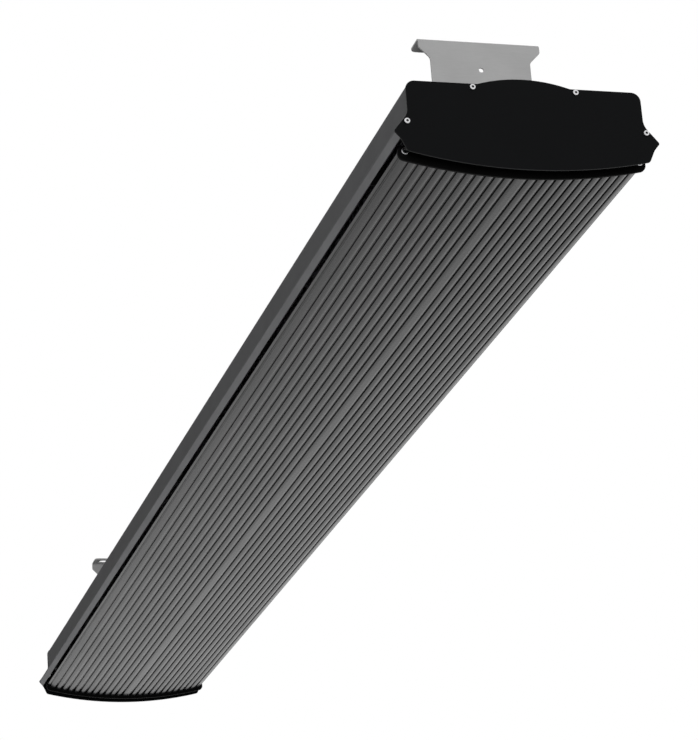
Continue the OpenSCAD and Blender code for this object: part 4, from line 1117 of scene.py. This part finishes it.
@dataclass
class ConnectionRoom(Assembly):
    """The terminal block, thermal cut-out, earth stud and leads at the left end."""

    block_edge: float = 0.4 * MM
    case_edge: float = 0.3 * MM
    sheet_edge: float = 0.1 * MM
    bush_edge: float = 0.2 * MM
    lead_angle: float = 50
    leads: tuple[tuple[str, str], ...] = (
        ("live_lead", "lead_brown"), ("switched_lead", "lead_brown"), ("neutral_lead", "lead_blue"),
        ("link_lead", "lead_grey"), ("earth_lead", "lead_green"))

    def _lead(self, node: str, slot: str) -> None:
        """Builds one lead from its CAD sweep, rounded.

        Args:
            node: The lead's CAD node.
            slot: The material slot.
        """
        piece = copy_of(node, node + "_piece")
        apply_modifier(piece, "SUBSURF", levels=1, render_levels=1)
        only(piece)
        bpy.ops.object.shade_smooth_by_angle(angle=math.radians(self.lead_angle))
        finish_piece(piece, slot, self.body, node)

    def build(self) -> None:
        """Builds and dresses the connection room."""
        self.refine("terminal_block", "ceramic_white", self.block_edge, 3)
        self.refine("terminal_screws", "brass")
        FIXING.build("block_fixings", "zinc_steel", self.body)
        self.refine("thermal_cut_out", "cut_out_case", self.case_edge, 3)
        self.refine("cut_out_tabs", "brass", self.sheet_edge)
        FIXING.build("cut_out_screws", "zinc_steel", self.body)
        self.refine("earth_stud", "brass")
        M4_NUT.build("earth_nut", "brass", self.body)
        self.refine("earth_tag", "zinc_steel", self.sheet_edge)
        self.refine("lead_bushes", "ceramic_white", self.bush_edge)
        for node, slot in self.leads:
            self._lead(node, slot)


@dataclass
class CableGland(Assembly):
    """The cable gland on the left end plate, made standing on Z and laid along -X."""

    pitch: float = 1.5 * MM
    crest_gap: float = 0.03 * MM
    thread_radius: float = 10 * MM
    spigot_radius: float = 8.6 * MM
    passage: float = 6.6 * MM
    collar_flats: float = 24 * MM
    collar_height: float = 6 * MM
    spigot_top: float = 16 * MM
    seal_edge: float = 0.35 * MM
    nut_edge: float = 0.5 * MM
    dome_edge: float = 0.8 * MM

    def _body(self) -> Piece:
        """Returns the gland's body, with its collar's seat at the origin and its cord end up."""
        low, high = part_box("gland_body")
        seat = low.x + self.spigot_top
        inner = thread(self.thread_radius - self.crest_gap, -self.pitch, high.x - seat, self.pitch, ROUND)
        inner.data.transform(Matrix.Rotation(math.pi, 4, "X"))
        outer = thread(self.spigot_radius - self.crest_gap, self.collar_height - self.pitch, self.spigot_top,
                       self.pitch, ROUND)
        piece = hexagon(self.collar_flats, 0, self.collar_height, foot_chamfer=True)
        for spigot in (inner, outer):
            bore(piece, spigot, "UNION")
        return bore(piece, cylinder(self.passage, -self.spigot_top * 2, self.spigot_top * 2))

    def build(self) -> None:
        """Builds and dresses the gland."""
        low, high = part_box("gland_body")
        middle = (low + high) / 2
        seat = Vector((low.x + self.spigot_top, middle.y, middle.z))
        body = soften(self._body(), width=0, angle=30)
        piece = copies(body, "gland_body_piece", [turn_to(-X_AXIS, Z_AXIS, seat)])
        finish_piece(piece, "gland_black", self.body, "gland_body")
        self.refine("gland_dome_nut", "gland_black", self.dome_edge, 4)
        self.refine("gland_seal", "seal_grey", self.seal_edge, 3)
        self.refine("gland_locknut", "gland_black", self.nut_edge)


class Side(Enum):
    """The bar's two ends. The value is where that end's hanger faces along X."""

    RIGHT = 1
    LEFT = -1


@dataclass
class Hanger(Assembly):
    """A ceiling hanger, the foot that it tilts on, and the bolts through both."""

    side: Side = Side.RIGHT
    sheet_edge: float = 0.18 * MM
    washer_edge: float = 0.15 * MM

    def build(self) -> None:
        """Builds and dresses the hanger and its foot."""
        word, outward = self.side.name.lower(), X_AXIS * self.side.value
        foot = self.body = word + "_foot"
        self.refine(word + "_hanger_plate", "hanger_grey", self.sheet_edge, 3, body=word + "_hanger")
        self.refine(word + "_foot_bracket", "foot_steel", self.sheet_edge, 3)
        for kind, bolt, nut in (("pivot", PIVOT_BOLT, M8_NUT), ("lock", LOCK_BOLT, M6_NUT)):
            bolt.build(f"{word}_{kind}_bolt", "fastener_steel", foot, outward, Z_AXIS)
            nut.build(f"{word}_{kind}_nut", "fastener_steel", foot, outward, Z_AXIS)
        RAIL_BOLT.build(word + "_rail_bolt", "fastener_steel", foot, -Z_AXIS, Y_AXIS)
        M8_NUT.build(word + "_rail_nut", "fastener_steel", foot)
        self.refine(word + "_washers", "fastener_steel", self.washer_edge)


# ---------------------------------------------------------------- the room


@dataclass(frozen=True)
class Softbox:
    """A square area lamp, which itself can't be seen."""

    name: str
    place: Point
    target: Point
    side: float
    level: float

    def build(self) -> None:
        """Adds the lamp, with a power that gives a facing white surface its level at the target."""
        aim = Vector(self.target) - Vector(self.place)
        lamp = bpy.data.lights.new(self.name, "AREA")
        lamp.shape, lamp.size = "SQUARE", self.side
        lamp.energy = self.level * (math.pi * aim.length) ** 2
        holder = bpy.data.objects.new(self.name, lamp)
        link(holder)
        holder.location = self.place
        holder.rotation_mode = "QUATERNION"
        holder.rotation_quaternion = aim.to_track_quat("-Z", "Y")
        holder.visible_camera = holder.visible_glossy = holder.visible_transmission = False


@dataclass
class Studio:
    """The camera, the lamps, the white surroundings and the pale floor."""

    eye: Point = (1.7331, -0.6311, -0.9165)
    forward: Point = (-0.89886, 0.26941, 0.34563)
    up: Point = (0.35191, -0.02628, 0.93567)
    lens: float = 138.56
    sensor: float = 36
    clip: Pair = (0.05, 200)
    floor_height: float = -2.4
    floor_half: float = 60
    floor_colour: Colour = (0.82, 0.82, 0.82)
    floor_shade: float = 0.98
    floor_patch: float = 0.6
    floor_roughness: float = 0.9
    floor_white_share: float = 0.5
    ambient: float = 0.2
    lamps: tuple[Softbox, ...] = (
        Softbox("low_lamp", (-1.6, 0.25, -1.9), (-0.5, 0, -0.1), 1.2, 1.15),
        Softbox("front_lamp", (2.4, -0.7, -0.4), (0.05, 0, -0.05), 0.9, 0.75),
        Softbox("top_lamp", (-1.2, 0.9, 2.6), (-0.6, 0, -0.1), 2.4, 0.65),
    )

    def _camera(self) -> None:
        """Places the camera where the photograph was taken from."""
        camera = bpy.data.cameras.new("camera")
        camera.lens, camera.sensor_width = self.lens, self.sensor
        camera.clip_start, camera.clip_end = self.clip
        holder = bpy.data.objects.new("camera", camera)
        link(holder)
        ahead, up = Vector(self.forward).normalized(), Vector(self.up)
        right = ahead.cross(up).normalized()
        turned = Matrix((right, right.cross(ahead), -ahead)).transposed().to_4x4()
        holder.matrix_world = Matrix.Translation(self.eye) @ turned
        bpy.context.scene.camera = holder

    @staticmethod
    def _seen(graph: Graph, camera_share: float) -> Wire:
        """Tells rays that see the background from those that only light the object.

        Args:
            graph: The graph to add to.
            camera_share: The value for rays from the camera.

        Returns:
            That value for rays from the camera, 1 from gloss and through glass, and 0 for other rays.
        """
        camera, gloss, glass = [graph.node("ShaderNodeLightPath", output=name)
                                for name in ("Is Camera Ray", "Is Glossy Ray", "Is Transmission Ray")]
        return graph.maths("MAXIMUM", graph.maths("MAXIMUM", camera * camera_share, gloss), glass)

    def _surroundings(self) -> None:
        """Makes the world white to the camera and to gloss, and a dimmer grey as a light."""
        world = bpy.data.worlds.new("surroundings")
        world.use_nodes = True
        graph = Graph(world.node_tree)
        light = graph.node("ShaderNodeBackground", {}, {"Color": (1, 1, 1), "Strength": self.ambient})
        white = graph.node("ShaderNodeBackground", {}, {"Color": (1, 1, 1), "Strength": 1.0})
        both = graph.node("ShaderNodeMixShader", {}, {0: self._seen(graph, 1.0), 1: light, 2: white})
        graph.node("ShaderNodeOutputWorld", {}, {"Surface": both})
        bpy.context.scene.world = world

    def _floor(self) -> None:
        """Adds the floor far below the hanging bar. Seen from beneath, it is clear."""
        deselect()
        bpy.ops.mesh.primitive_grid_add(x_subdivisions=4, y_subdivisions=4, size=2 * self.floor_half)
        floor = bpy.context.active_object
        floor.name = "floor"
        floor.data.transform(Matrix.Translation((0, 0, self.floor_height)))
        material = bpy.data.materials.new("floor_finish")
        material.use_nodes = True
        graph = Graph(material.node_tree)
        cloud = graph.patches(self.floor_patch)
        colour = graph.blend(cloud, shade(self.floor_colour, self.floor_shade), self.floor_colour)
        shader = graph.node("ShaderNodeBsdfPrincipled", {},
                            {"Base Color": colour, "Roughness": self.floor_roughness})
        white = graph.node("ShaderNodeEmission", {}, {"Color": (1, 1, 1), "Strength": 1.0})
        both = graph.node("ShaderNodeMixShader", {},
                          {0: self._seen(graph, self.floor_white_share), 1: shader, 2: white})
        beneath = graph.node("ShaderNodeNewGeometry", output="Backfacing")
        clear = graph.node("ShaderNodeBsdfTransparent")
        surface = graph.node("ShaderNodeMixShader", {}, {0: beneath, 1: both, 2: clear})
        graph.node("ShaderNodeOutputMaterial", {}, {"Surface": surface})
        floor.data.materials.append(material)

    def build(self) -> None:
        """Builds the camera, lamps, surroundings and floor."""
        self._camera()
        for lamp in self.lamps:
            lamp.build()
        self._surroundings()
        self._floor()
        bpy.context.scene.view_settings.view_transform = "Standard"
        LOG.info("studio: camera, %d lamps, surroundings and floor", len(self.lamps))


def main() -> None:
    """Builds the studio and the heater."""
    logging.basicConfig(level=logging.INFO, format="%(name)s %(message)s")
    Studio().build()
    for part in (Shell(), RibbedPanel(), HeatingSet(), Inside(), ConnectionRoom(), CableGland(),
                 Hanger(side=Side.RIGHT), Hanger(side=Side.LEFT)):
        part.build()


if __name__ == "__main__":
    main()
